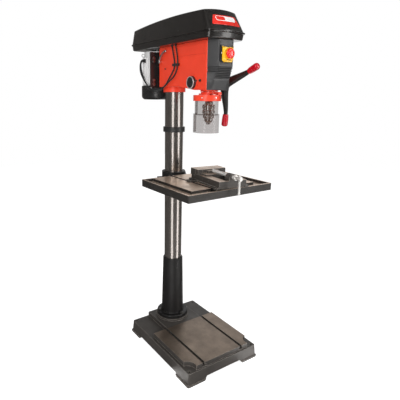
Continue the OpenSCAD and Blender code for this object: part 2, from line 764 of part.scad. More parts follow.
// Chromed lever on the left of the head that pushes the motor slide back
module tension_lever() {
    color([0.80, 0.80, 0.82]) {
        rod_x(9, -head_w / 2 - 14, -head_w / 2 - 0.5, 205, 1430);
        hull() {
            translate([-head_w / 2 - 12, 203, 1432]) sphere(r = 5, $fn = 16);
            translate([-head_w / 2 - 13, 186, 1452]) sphere(r = 4.6, $fn = 16);
        }
        hull() {
            translate([-head_w / 2 - 13, 186, 1452]) sphere(r = 4.6, $fn = 16);
            translate([-head_w / 2 - 14, 160, 1469]) sphere(r = 4.4, $fn = 16);
        }
        hull() {
            translate([-head_w / 2 - 14, 160, 1469]) sphere(r = 4.4, $fn = 16);
            translate([-head_w / 2 - 14, 141, 1472]) sphere(r = 5, $fn = 16);
        }
    }
}

// Leads

// Route points of the two leads: out of the tray, down the left of the head through the clip,
// back under the motor plate and up the motor's side into its gland
lead_r = 3.2;
motor_lead_route = [[-67, 104, 1499], [-67, 102, 1490], [-67, 95, 1470], [-67, 87, 1445],
    [-67, 80, 1417], [-67, 83, 1395], [-67, 98, 1376], [-67, 123, 1352], [-68, 160, 1318],
    [-74, 200, 1304], [-84, 236, 1303], [-93, 262, 1308], [-96, 288, 1330], [-97, 318, 1356],
    [-97, 342, 1386], [-97, 347, 1416], [-94, 343, 1438], [-90, 337, 1445], [-84.8, 336, 1445]];
switch_lead_route = [[-67, 75, 1499], [-67, 73, 1490], [-67, 65, 1470], [-67, 58, 1442],
    [-67, 55, 1409], [-68, 66, 1379], [-70, 85, 1356], [-74, 124, 1332], [-77, 166, 1306],
    [-81, 204, 1295], [-89, 240, 1295], [-97, 268, 1306], [-92, 294, 1328], [-91, 318, 1354],
    [-92, 336, 1382], [-93, 344, 1408], [-94, 343, 1426], [-92, 338, 1437], [-84.8, 336, 1438]];

// A smooth path through the route points, with a few steps between each pair
function smooth_path(p, steps = 3) = concat([for (i = [0:len(p) - 2], s = [0:steps - 1])
    let (t = s / steps, a = p[max(i - 1, 0)], b = p[i], c = p[i + 1],
        d = p[min(i + 2, len(p) - 1)])
    0.5 * ((2 * b) + (c - a) * t + (2 * a - 5 * b + 4 * c - d) * t * t
        + (3 * b - 3 * c + d - a) * t * t * t)], [p[len(p) - 1]]);

function unit(v) = v / norm(v);

// A tube of radius r that follows a path, as one closed solid
module tube_along(path, r, sides = 8) {
    n = len(path);
    rings = [for (i = [0:n - 1])
        let (t = unit(path[min(i + 1, n - 1)] - path[max(i - 1, 0)]),
            side = unit(cross(t, [0.93, 0.36, 0.05])), up = cross(side, t))
        for (k = [0:sides - 1]) let (a = 360 * k / sides)
            path[i] + r * (cos(a) * side + sin(a) * up)];
    walls = [for (i = [0:n - 2], k = [0:sides - 1]) let (k2 = (k + 1) % sides)
        each [[i * sides + k, i * sides + k2, (i + 1) * sides + k],
            [i * sides + k2, (i + 1) * sides + k2, (i + 1) * sides + k]]];
    first = [for (k = [sides - 1:-1:0]) k];
    last = [for (k = [0:sides - 1]) (n - 1) * sides + k];
    polyhedron(rings, concat(walls, [first], [last]));
}

module leads() {
    color([0.05, 0.05, 0.05]) {
        tube_along(smooth_path(motor_lead_route), lead_r);
        tube_along(smooth_path(switch_lead_route), lead_r);
    }
}

// The saddle clip that holds both leads to the head's side
module cable_fittings() {
    color([0.12, 0.12, 0.12]) difference() {
        translate([-head_w / 2 - 10.5, 46, 1403]) cube([10.4, 46, 11]);
        translate([-67, 80, 1390]) cylinder(r = 4.1, h = 40);
        translate([-67, 55.5, 1390]) cylinder(r = 4.1, h = 40);
        translate([-head_w / 2 - 12, 61, 1402]) cube([7, 13, 13]);
    }
}

// Table lift

// Side profile of the lifting rack, with its teeth along one edge
module rack() {
    pitch = PI * rack_module;
    teeth = floor((rack_z[1] - rack_z[0] - 8) / pitch);
    start = rack_z[0] + 4;
    tip = rack_tooth_y;
    root = rack_tooth_y - 2.2 * rack_module;
    edge = [for (i = [0:teeth - 1], q = [[0.10, root], [0.34, tip], [0.60, tip], [0.84, root]])
        [start + (i + q[0]) * pitch, q[1]]];
    color([0.45, 0.45, 0.46]) at_rack() translate([column_r + 0.6, 0, 0]) rotate([0, -90, 0])
        mirror([0, 0, 1]) linear_extrude(12.5) polygon(concat([[rack_z[0], -11],
            [rack_z[0], root]], edge, [[rack_z[1], root], [rack_z[1], -11]]));
}

module table_bracket() {
    color([0.13, 0.13, 0.13]) difference() {
        union() {
            at_column() translate([0, 0, bracket_z[0]])
                cylinder(r = collar_r, h = bracket_z[1] - bracket_z[0], $fn = 96);
            at_rack() {
                translate([40, -18, bracket_z[0] + 2]) cube([32, 36, bracket_z[1] - bracket_z[0] - 4]);
                // Gear housing with a sloping roof
                translate([44, -18, crank_z - 30]) cube([40, 66, 50]);
                translate([84, 0, 0]) rotate([0, -90, 0]) linear_extrude(34)
                    polygon([[crank_z + 18, -18], [crank_z + 18, 48], [crank_z + 34, 30],
                        [crank_z + 44, -18]]);
                translate([62, 0, 0]) rotate([0, -90, 0]) linear_extrude(34)
                    polygon([[crank_z - 30, -52], [crank_z + 34, -52], [crank_z + 44, -17],
                        [crank_z - 30, -17]]);
                rod_x(17, 80, 98, pinion_off, crank_z);
            }
            // Arm that carries the table
            along_y(60, column_y - 30) translate([0, tilt_z]) circle(r = 31);
            rod_y(tilt_disc_r, 40, 62, 0, tilt_z);
            // Split clamp ears at the left rear
            at_column() rotate([0, 0, 160]) translate([46, -14, 810]) cube([38, 28, 60]);
        }
        at_column() translate([0, 0, bracket_z[0] - 5])
            cylinder(r = column_r + fit, h = 140, $fn = 96);
        at_rack() {
            translate([40, -11.6, bracket_z[0] - 5]) cube([20.8, 23.2, 140]);
            rod_x(18.6, 44, 61.4, pinion_off, crank_z);
            rod_x(8 + fit, 50, 110, pinion_off, crank_z);
        }
        at_column() rotate([0, 0, 160]) {
            translate([30, -1.5, 700]) cube([70, 3, 300]);
            translate([70, 20, 840]) rotate([90, 0, 0]) cylinder(r = 6 + fit, h = 60);
        }
        rod_y(10.1, 30, 110, 0, tilt_z);
    }
}

// Pinion, shaft and cranked arm in one
module crank_arm() {
    color([0.14, 0.14, 0.14]) at_rack() translate([0, pinion_off, crank_z]) {
        difference() {
            rod_x(pinion_pitch_r + rack_module - 0.5, 47, 59.8, 0, 0);
            // Tooth spaces
            for (k = [0:9]) rotate([36 * k, 0, 0]) rotate([90, 0, 90])
                translate([0, 0, 46]) linear_extrude(15)
                    polygon([[-1.5, 10.5], [1.5, 10.5], [4.7, 18.5], [-4.7, 18.5]]);
        }
        rod_x(8, 59.8, 112, 0, 0);
        hull() {
            rod_x(13, 102, 114, 0, 0, $fn = 32);
            rod_x(9, 102, 112, 64, 64, $fn = 32);
        }
        rod_x(5, 110, 178, 64, 64);
    }
}

module crank_grip() {
    color([0.07, 0.07, 0.07]) at_rack() translate([0, pinion_off + 64, crank_z + 64])
        rotate([0, 90, 0]) rotate_extrude() polygon([[5.1, 113], [9, 113], [11, 120],
            [12.5, 140], [12.5, 165], [10, 175], [5.1, 176.5]]);
}

module clamp_lever() {
    color([0.14, 0.14, 0.14]) at_column() rotate([0, 0, 160]) translate([70, 0, 840])
        rotate([90, 0, 0]) {
            translate([0, 0, -28]) cylinder(r = 6, h = 56);
            translate([0, 0, 14.4]) cylinder(r = 10, h = 12);
            translate([0, 0, 20]) rotate([0, 75, -20]) cylinder(r = 5, h = 62);
            translate([0, 0, 20]) rotate([0, 75, -20]) translate([0, 0, 66]) sphere(r = 9);
        }
}

module tilt_bolt() {
    color([0.5, 0.5, 0.52]) {
        rod_y(10, 10, 108, 0, tilt_z);
        translate([0, 10, tilt_z]) rotate([90, 0, 0]) cylinder(r = 15, h = 9, $fn = 6);
    }
}

// Table

// T-slot cutter through the table top along Y
module table_slot(x) {
    translate([x - slot_w / 2, table_front + 9, table_z - 16]) cube([slot_w, 400, 20]);
    translate([x - slot_w, table_front + 9, table_z - 16]) cube([2 * slot_w, 400, 7]);
}

module table() {
    mid_y = (table_front + table_rear) / 2;
    len_y = table_rear - table_front;
    color([0.30, 0.28, 0.26]) difference() {
        union() {
            difference() {
                translate([0, mid_y, table_z - table_rim_h]) linear_extrude(table_rim_h)
                    rounded_rect(table_w, len_y, 4);
                // Drip gutter inside the rim
                translate([-table_w / 2 + 9, table_front + 9, gutter_z])
                    cube([table_w - 18, len_y - 18, 30]);
                translate([0, 0, table_z - table_rim_h - 1]) linear_extrude(13)
                    translate([0, mid_y]) rounded_rect(table_w - 22, len_y - 22, 6);
            }
            translate([-machined_x, machined_front, table_z - 20])
                cube([2 * machined_x, table_rear - machined_front, 20]);
            // Stiffening ribs below
            for (y = [-200, -110]) translate([-table_w / 2 + 8, y, table_z - 30])
                cube([table_w - 16, 8, 14]);
            for (x = [-150, 142]) translate([x, table_front + 8, table_z - 30])
                cube([8, len_y - 16, 14]);
            // Tilt boss
            rod_y(tilt_disc_r, 18, 39.7, 0, tilt_z);
            translate([-tilt_disc_r, 18, tilt_z]) cube([2 * tilt_disc_r, 21.7, table_z - tilt_z - 18]);
        }
        for (x = [-1, 1]) table_slot(x * table_slot_x);
        rod_y(10 + fit, 0, 50, 0, tilt_z);
        translate([0, 18, tilt_z]) rotate([90, 0, 0]) cylinder(r = 15.6, h = 20);
    }
}

// Vise, drawn square to its own rails: x across the jaws, y along the screw

module vise_body() {
    w = vise_w / 2;
    color([0.22, 0.21, 0.20]) at_vise() difference() {
        union() {
            // Clamping flange
            translate([0, 16, table_z]) linear_extrude(7) rounded_rect(vise_w + 8, 236, 6);
            // Slotted ears; a T-slot bolt holds the left rear one
            for (s = [-1, 1]) translate([s * (w + 14), vise_bolt_at[1], table_z])
                linear_extrude(9) rounded_rect(62, 36, 7);
            for (s = [-1, 1]) translate([s * (w + 2), -92, table_z]) linear_extrude(7)
                rounded_rect(26, 24, 6);
            // Rails
            for (s = [-1, 1]) translate([s > 0 ? w - 40 : -w, -104, table_z + 4])
                cube([40, 214, rail_z - table_z - 4]);
            translate([-w, 60, table_z + 4]) cube([vise_w, 74, rail_z - table_z - 4]);
            // Fixed jaw
            translate([-jaw_w / 2, 92, rail_z - 6]) cube([jaw_w, 42, jaw_z - rail_z + 6]);
            // Front cross block with the screw nut boss
            translate([-w, -104, table_z + 5]) cube([vise_w, 16, rail_z - table_z - 5]);
            rod_y(19, -104, -70, 0, screw_z - 6);
            translate([-19, -104, rail_z - 6]) cube([38, 34, 16]);
        }
        rod_y(8 + gap, -120, -60, 0, screw_z);
        // Bolt slots in the flange
        for (s = [-1, 1]) translate([s * vise_bolt_at[0], vise_bolt_at[1], table_z - 1])
            linear_extrude(12) {
                circle(5.2);
                translate([-s * 6, 0]) circle(5.2);
                translate([-s * 3, 0]) square([6, 10.4], center = true);
            }
    }
}

// T-slot bolt with its washer and nut, through the vise's left rear ear
module vise_bolt() {
    color([0.75, 0.75, 0.76]) at_vise() translate([-vise_bolt_at[0], vise_bolt_at[1], table_z]) {
        rotate([0, 0, -vise_turn]) translate([-11, -11, -15.8]) cube([22, 22, 6.4]);
        translate([0, 0, -10]) cylinder(r = 5, h = 30);
        translate([0, 0, 9]) ring(11, 5.1, 2);
        translate([0, 0, 11]) difference() {
            cylinder(r = 9, h = 7.5, $fn = 6);
            translate([0, 0, -1]) cylinder(r = 5.1, h = 10);
        }
    }
}

module moving_jaw() {
    color([0.36, 0.35, 0.33]) at_vise() difference() {
        union() {
            translate([-jaw_w / 2, 66, rail_z + gap]) cube([jaw_w, 24, jaw_z - rail_z - 0.8]);
            // Slide between the rails
            translate([-28.6, 20, table_z + 12]) cube([57.2, 39, rail_z - table_z - 10]);
            translate([-28.6, 50, rail_z + gap]) cube([57.2, 20, 18]);
            translate([-56, 20, rail_z + gap]) cube([112, 48, 7]);
        }
        rod_y(8 + fit, 10, 60, 0, screw_z);
    }
}

module vise_screw() {
    color([0.72, 0.72, 0.73]) at_vise() difference() {
        union() {
            rod_y(8, -140, 58, 0, screw_z);
            rod_y(11, -124, -112, 0, screw_z);
            rod_y(9.4, -159, -139, 0, screw_z);
        }
        translate([0, -149, screw_z - 20]) cylinder(r = 5 + fit, h = 40);
    }
}

module vise_bar() {
    color([0.80, 0.80, 0.80]) at_vise() translate([0, -149, 0]) {
        cylinder_between(5, 876, 955);
        cylinder_between(6.4, 874, 879);
        cylinder_between(6.4, 951, 956);
    }
}

// Spindle, quill and chuck

module quill() {
    color([0.62, 0.62, 0.62]) at_spindle() difference() {
        cylinder_between(quill_r, quill_z[0], quill_z[1]);
        cylinder_between(13, quill_z[0] - 1, quill_z[1] + 1);
        cylinder_between(17.5, quill_z[0] + 2, quill_z[0] + 16);
        cylinder_between(17.5, quill_z[1] - 16, quill_z[1] - 2);
        // Rack teeth on the rear face, cut square across
        for (i = [0:29]) let (z = feed_z + feed_module * PI * (i - 4.5))
            if (z < quill_z[1] + 6)
                across_x(24) polygon([[feed_plane - 1.9, z - 0.95], [feed_plane + 3, z - 2.1],
                    [feed_plane + 3, z + 2.1], [feed_plane - 1.9, z + 0.95]]);
        // Crests of the rack
        translate([-12, feed_plane + 1.4, feed_z - 5 * feed_module * PI])
            cube([24, 10, 40 * feed_module * PI]);
    }
}

module spindle_bearings() {
    color([0.72, 0.72, 0.74]) at_spindle() for (z = [quill_z[0] + 2.2, quill_z[1] - 15.8])
        translate([0, 0, z]) ring(17.4, 10 + fit, 13.6);
}

module spindle() {
    color([0.70, 0.70, 0.71]) at_spindle() {
        cylinder_between(10, 1246, 1440);
        cylinder_between(9.8, 1440, 1572);
        translate([0, 0, 1228]) cylinder(r1 = 8, r2 = 9.4, h = 19);
        cylinder_between(12, 1253, quill_z[0] - 1);
    }
}

module chuck_body() {
    color([0.45, 0.45, 0.46]) at_spindle() difference() {
        rotate_extrude() polygon([[0, 1160], [14.5, 1160], [19.2, 1166], [19.2, 1176.5],
            [chuck_core_r, 1178], [chuck_core_r, 1219.4], [chuck_r, 1219.6], [chuck_r, 1233],
            [25.5, 1236], [18.6, 1237.5], [16.5, 1251.5], [0, 1251.5]]);
        translate([0, 0, 1227.6]) cylinder(r1 = 8, r2 = 9.9, h = 26);
        cylinder_between(10.2, 1245.5, 1260);
        for (k = [0:2]) rotate([0, 0, 120 * k + 60]) translate([4.4, 0, jaw_tip_z])
            rotate([0, jaw_lean, 0]) translate([0, 0, -5]) cylinder(r = 4.9, h = 66);
        // Key holes and knurling
        for (a = [30:120:270]) rotate([0, 0, a]) rod_x(3.2, chuck_core_r - 2, 40, 0, 1227);
        for (a = [0:12:348]) rotate([0, 0, a]) translate([chuck_r + 0.4, 0, 1221.5])
            cylinder(r = 0.9, h = 10, $fn = 13);
    }
}

module chuck_sleeve() {
    color([0.50, 0.50, 0.51]) at_spindle() difference() {
        rotate_extrude() polygon([[chuck_core_r + gap, 1180], [23.6, 1179], [24.4, 1180.5],
            [24.4, 1195], [chuck_r, 1198], [chuck_r, 1216.4], [26.6, 1218.6],
            [chuck_core_r + gap, 1218.6]]);
        for (a = [0:12:348]) rotate([0, 0, a]) translate([chuck_r + 0.4, 0, 1200.5])
            cylinder(r = 0.9, h = 14, $fn = 13);
    }
}

// One of three inclined jaws, its inner side ground to a 120 degree wedge
module chuck_jaw(k) {
    color([0.60, 0.60, 0.61]) at_spindle() rotate([0, 0, 120 * k + 60]) intersection() {
        translate([4.4, 0, jaw_tip_z]) rotate([0, jaw_lean, 0]) cylinder(r = 4.6, h = 48);
        cylinder_wedge();
    }
}

module cylinder_wedge() {
    translate([0.5, 0, 1150]) linear_extrude(80) polygon([[0, 0], [40, -66], [40, 66]]);
}

// Guard

// Split collar on the quill's nose with its clamp screw and the guard's hinge pin
module guard_clamp() {
    color([0.84, 0.20, 0.10]) {
        at_spindle() translate([0, 0, 1276.6]) difference() {
            union() {
                cylinder(r = 45, h = 6);
                cylinder(r = 36, h = 13);
                translate([10, -52, 0]) cube([16, 22, 13]);
            }
            translate([0, 0, -1]) cylinder(r = quill_r + fit, h = 20);
            translate([16.8, -60, -1]) cube([2.4, 60, 20]);
            rod_x(2.6, 0, 40, -43, 6.5);
        }
        difference() {
            hull() {
                translate([guard_pin[0], guard_pin[1], 1276.6]) cylinder(r = 8, h = 6, $fn = 32);
                translate([30, spindle_y - 12, 1276.6]) cylinder(r = 10, h = 6, $fn = 32);
            }
            translate([0, spindle_y, 1270]) cylinder(r = quill_r + 3, h = 30);
        }
        translate([guard_pin[0], guard_pin[1], 1252]) cylinder(r = 3, h = 26);
    }
}

// The part of a turned piece that is left between two angles
module c_cut(r, a0, a1) {
    difference() {
        children();
        linear_extrude(3000) polygon(concat([[0, 0]], arc(0, 0, r * 2, a1 - 360, a0, 8)));
    }
}

// A C-shaped wall: the part of a ring left between two angles
module c_wall(r_out, r_in, z0, z1, a0, a1) {
    c_cut(r_out, a0, a1) translate([0, 0, z0]) ring(r_out, r_in, z1 - z0);
}

module at_guard() { translate([guard_at[0], guard_at[1], 0]) children(); }

// Hinged ring that carries the clear shield
module guard_ring() {
    color([0.84, 0.20, 0.10]) difference() {
        union() {
            at_guard() c_wall(guard_r, guard_r - 3, 1251, guard_z, 100, 322, $fn = 96);
            at_guard() c_wall(guard_r - 1, 38, guard_z - 3, guard_z, 104, 318, $fn = 96);
            at_guard() c_wall(guard_r - 2.8, shield_r, 1253, 1257, 104, 300, $fn = 96);
            translate([guard_pin[0], guard_pin[1], 1253]) cylinder(r = 7, h = guard_z - 1253);
        }
        translate([guard_pin[0], guard_pin[1], 1240]) cylinder(r = 3 + fit, h = 60);
    }
}

module guard_shield() {
    color([0.80, 0.82, 0.82, 0.35]) at_guard()
        c_wall(shield_r, shield_r - 2.4, shield_z[0], shield_z[1], 104, 300, $fn = 96);
}

// Lower shield that slides up outside the upper one
module guard_extension() {
    inner_r = extension_r - 2.5;
    color([0.80, 0.82, 0.82, 0.35]) at_guard() c_cut(extension_r, 106, 298)
        rotate_extrude($fn = 96) polygon([[inner_r, extension_z[0]], [extension_r, extension_z[0]],
            [extension_r, extension_z[1]], [shield_r + gap, extension_z[1]],
            [shield_r + gap, extension_z[1] - 4], [inner_r, extension_z[1] - 4]]);
}

// Feed

module pinion_shaft() {
    color([0.60, 0.60, 0.61]) difference() {
        union() {
            rod_x(11, -head_w / 2 - 11.5, -14.5, feed_y, feed_z);
            rod_x(11, 14.5, hub_x[1] - 8, feed_y, feed_z);
            rod_x(feed_pitch_r + feed_module - 0.35, -14.5, 14.5, feed_y, feed_z);
        }
        // Tooth spaces of the pinion
        translate([0, feed_y, feed_z]) for (k = [0:16]) rotate([360 * k / 17, 0, 0])
            across_x(29) polygon([[-11.0, 0.85], [-11.0, -0.85], [-16, -2.7], [-16, 2.7]]);
    }
}

module depth_dial() {
    color([0.75, 0.75, 0.76]) translate([0, feed_y, feed_z]) difference() {
        rod_x(29, head_w / 2 + 5.6, head_w / 2 + 14, 0, 0);
        rod_x(11.2, 0, 100, 0, 0);
        for (a = [0:15:345]) rotate([a, 0, 0]) translate([head_w / 2 + 7, 0, 29.4])
            cube([9, 1, 2], center = true);
    }
}

// Cast hub with three arms that lean outwards and taper to the grips
module feed_hub() {
    grip_r = handle_reach - 58;
    color([0.11, 0.10, 0.10]) translate([0, feed_y, feed_z]) difference() {
        union() {
            rod_x(19, hub_x[0], 112, 0, 0);
            rod_x(23, 106, hub_x[1], 0, 0);
            rod_x(17, hub_x[1] - 1, hub_x[1] + 4, 0, 0);
            for (a = handle_angles) rotate([a, 0, 0]) {
                hull() {
                    translate([hub_x[1] - 14, 8, 0]) scale([0.72, 1, 1]) cylinder_y(23, 4);
                    translate([handle_x, grip_r - 6, 0]) cylinder_y(9.8, 2);
                }
                translate([handle_x, grip_r - 6, 0]) cylinder_y(6.4, 36);
            }
        }
        rod_x(11 + fit, 50, hub_x[1] - 7.8, 0, 0);
    }
}

// A short cylinder pointing outwards along Y
module cylinder_y(r, h) { rotate([-90, 0, 0]) cylinder(r = r, h = h, $fn = 32); }

module feed_grips() {
    color([0.80, 0.06, 0.12]) translate([0, feed_y, feed_z]) for (a = handle_angles)
        rotate([a, 0, 0]) translate([handle_x, 0, 0]) rotate([-90, 0, 0]) difference() {
            rotate_extrude() polygon(concat([[0, handle_reach - 58], [12.6, handle_reach - 58],
                [14, handle_reach - 56], [15.2, handle_reach - 34]],
                arc(4.2, handle_reach - 11, 11, 0, 90, 8), [[0, handle_reach]]));
            translate([0, 0, handle_reach - 66]) cylinder(r = 6.5, h = 41);
        }
}

base();
column_foot();
foot_bolts();
column();
rack_ring();
set_screws();
head_casting();
front_panel();
spring_cap();
return_spring();
switch_body();
belt_tray();
idler_post();
belts();
leads();
cable_fittings();
lid_hinge_pin();
belt_lid();
start_button();
stop_button();
switch_flap();
stop_knob();
spindle_pulley();
idler_pulley();
motor_pulley();
motor_body();
fan_cover();
motor_plate();
slide_rods();
motor_fittings();
tension_lever();
quill_lock();
rack();
table_bracket();
crank_arm();
crank_grip();
clamp_lever();
tilt_bolt();
table();
vise_body();
vise_bolt();
moving_jaw();
vise_screw();
vise_bar();
quill();
spindle_bearings();
guard_clamp();
guard_ring();
guard_shield();
guard_extension();
spindle();
chuck_body();
chuck_sleeve();
chuck_jaw(0);  // chuck_jaw_1
chuck_jaw(1);  // chuck_jaw_2
chuck_jaw(2);  // chuck_jaw_3
pinion_shaft();
feed_hub();
feed_grips();
depth_dial();
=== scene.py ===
"""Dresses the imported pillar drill: finishes for its CAD nodes, finer pieces over them, and a plain studio."""

import json
import math

import bmesh
import bpy
from bpy.props import FloatProperty, FloatVectorProperty, IntProperty, PointerProperty
from mathutils import Matrix, Vector
from mathutils.bvhtree import BVHTree


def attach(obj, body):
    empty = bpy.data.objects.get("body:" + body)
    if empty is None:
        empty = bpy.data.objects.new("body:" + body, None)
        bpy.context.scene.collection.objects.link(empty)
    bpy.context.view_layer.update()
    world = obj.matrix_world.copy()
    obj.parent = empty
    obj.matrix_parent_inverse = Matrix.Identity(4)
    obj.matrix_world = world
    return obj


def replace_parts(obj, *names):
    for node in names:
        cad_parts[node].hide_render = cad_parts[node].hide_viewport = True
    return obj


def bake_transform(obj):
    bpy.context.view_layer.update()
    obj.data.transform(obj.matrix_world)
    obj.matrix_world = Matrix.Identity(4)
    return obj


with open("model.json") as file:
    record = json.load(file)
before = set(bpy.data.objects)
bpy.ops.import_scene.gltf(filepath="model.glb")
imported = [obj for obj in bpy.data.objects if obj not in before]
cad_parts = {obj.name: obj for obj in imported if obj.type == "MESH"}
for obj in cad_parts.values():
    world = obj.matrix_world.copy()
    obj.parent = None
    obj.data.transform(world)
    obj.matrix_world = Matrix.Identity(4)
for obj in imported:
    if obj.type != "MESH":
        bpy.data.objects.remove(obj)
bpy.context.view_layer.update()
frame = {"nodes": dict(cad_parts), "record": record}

bl_info = {
    "name": "Pillar drill looks",
    "version": (1, 0, 0),
    "blender": (4, 5, 0),
    "location": "3D View > Sidebar > Drill",
    "description": "Finishes, fine pieces and studio for a floor-standing pillar drill",
    "category": "Object",
}

NODES = frame["nodes"]
SLOT_OF = {s["node"]: s["material_slot"] for s in frame["record"]["subparts"]}
FINISHES = {}

# Places taken from the drill's own dimensions, in metres
SPINDLE_Y = -0.092
COLUMN_Y = 0.179
MOTOR_Y = 0.335
TABLE_Z = 0.892
SPLIT_Z = 1.521              # where the lid's rim meets the tray
COVER_HINGE = (0.4376, 1.519)
LID_HALF, LID_REAR = 0.082, 0.418   # where the rounding of the lid's crown is centred
LID_ROUND = 0.006            # radius of that rounding
HEAD_HALF = 0.062
HEAD_FRONT = -0.150
PLATE_Y = 0.2460             # front of the motor's mounting plate
FEED_Y, FEED_Z = -0.055, 1.324
FEED_GRIP_X = 0.147
FEED_ARMS = (157, 277, 37)   # degrees round the feed shaft
CRANK_TURN = math.radians(20)
KNOB_Z = 1.438
FLAP_HINGE_Z = 1.463
GUARD_AT = (-0.006, -0.087)
GUARD_HINGE = (0.0365, -0.120)
VISE_AT = (0.020, -0.160)
VISE_TURN = math.radians(-7.35)
VISE_SCREW_Z = 0.941
VISE_ALONG = (-math.sin(VISE_TURN), math.cos(VISE_TURN), 0)
CRANK_AXIS = (math.cos(CRANK_TURN), math.sin(CRANK_TURN), 0)


# Settings

def colour(name, default, description):
    return FloatVectorProperty(name=name, description=description, default=default, subtype="COLOR",
                               size=3, min=0.0, max=1.0)


def length(name, default, description):
    return FloatProperty(name=name, description=description, default=default, unit="LENGTH",
                         subtype="DISTANCE", min=0.0, precision=4)


class DrillColours(bpy.types.PropertyGroup):
    head_red: colour("Head red", (0.86, 0.054, 0.020), "Gloss enamel on the head casting")
    cover_black: colour("Cover black", (0.0060, 0.0048, 0.0042), "Powder coat on the belt cover")
    panel_grey: colour("Panel grey", (0.040, 0.040, 0.041), "Moulded front panel")
    iron_paint: colour("Iron paint", (0.052, 0.046, 0.041), "Paint on the cast base and table")
    ground_iron: colour("Ground iron", (0.205, 0.160, 0.125), "Oiled machined cast iron")
    grip_red: colour("Grip red", (0.52, 0.002, 0.014), "Dipped feed grips")
    flap_yellow: colour("Flap yellow", (0.88, 0.49, 0.018), "Switch flap")
    motor_grey: colour("Motor grey", (0.74, 0.73, 0.725), "Enamel on the motor body")
    guard_tint: colour("Guard tint", (0.100, 0.064, 0.052), "Clear sheet of the chuck guard")


class DrillSizes(bpy.types.PropertyGroup):
    lead_diameter: length("Lead diameter", 0.0064, "Outer diameter of the two leads")
    sheet: length("Cover sheet", 0.0025, "Thickness of the pressed belt cover")
    edge: length("Edge softness", 0.0012, "Radius that the finishes give to cast and pressed edges")
    arm_root: length("Feed arm at the hub", 0.0235, "Radius of a feed arm where it leaves the hub")
    arm_tip: length("Feed arm at the grip", 0.0098, "Radius of a feed arm where it enters its grip")
    corner_steps: IntProperty(name="Corner steps", description="Facets along each round corner",
                              default=14, min=4, max=40)


class DrillStudio(bpy.types.PropertyGroup):
    key: FloatProperty(name="Key light", description="Power of the main soft light", default=52.0,
                       unit="POWER", min=0.0)
    rim: FloatProperty(name="Side light", description="Power of the soft light on the right",
                       default=26.0, unit="POWER", min=0.0)
    top: FloatProperty(name="Top light", description="Power of the soft light overhead",
                       default=16.0, unit="POWER", min=0.0)
    world: FloatProperty(name="Surround", description="Strength of the even light all round",
                         default=0.42, min=0.0, max=2.0)
    floor: length("Floor", 12.0, "Side of the square floor")


def colours():
    return bpy.context.scene.drill_colours


def sizes():
    return bpy.context.scene.drill_sizes


# Finishes

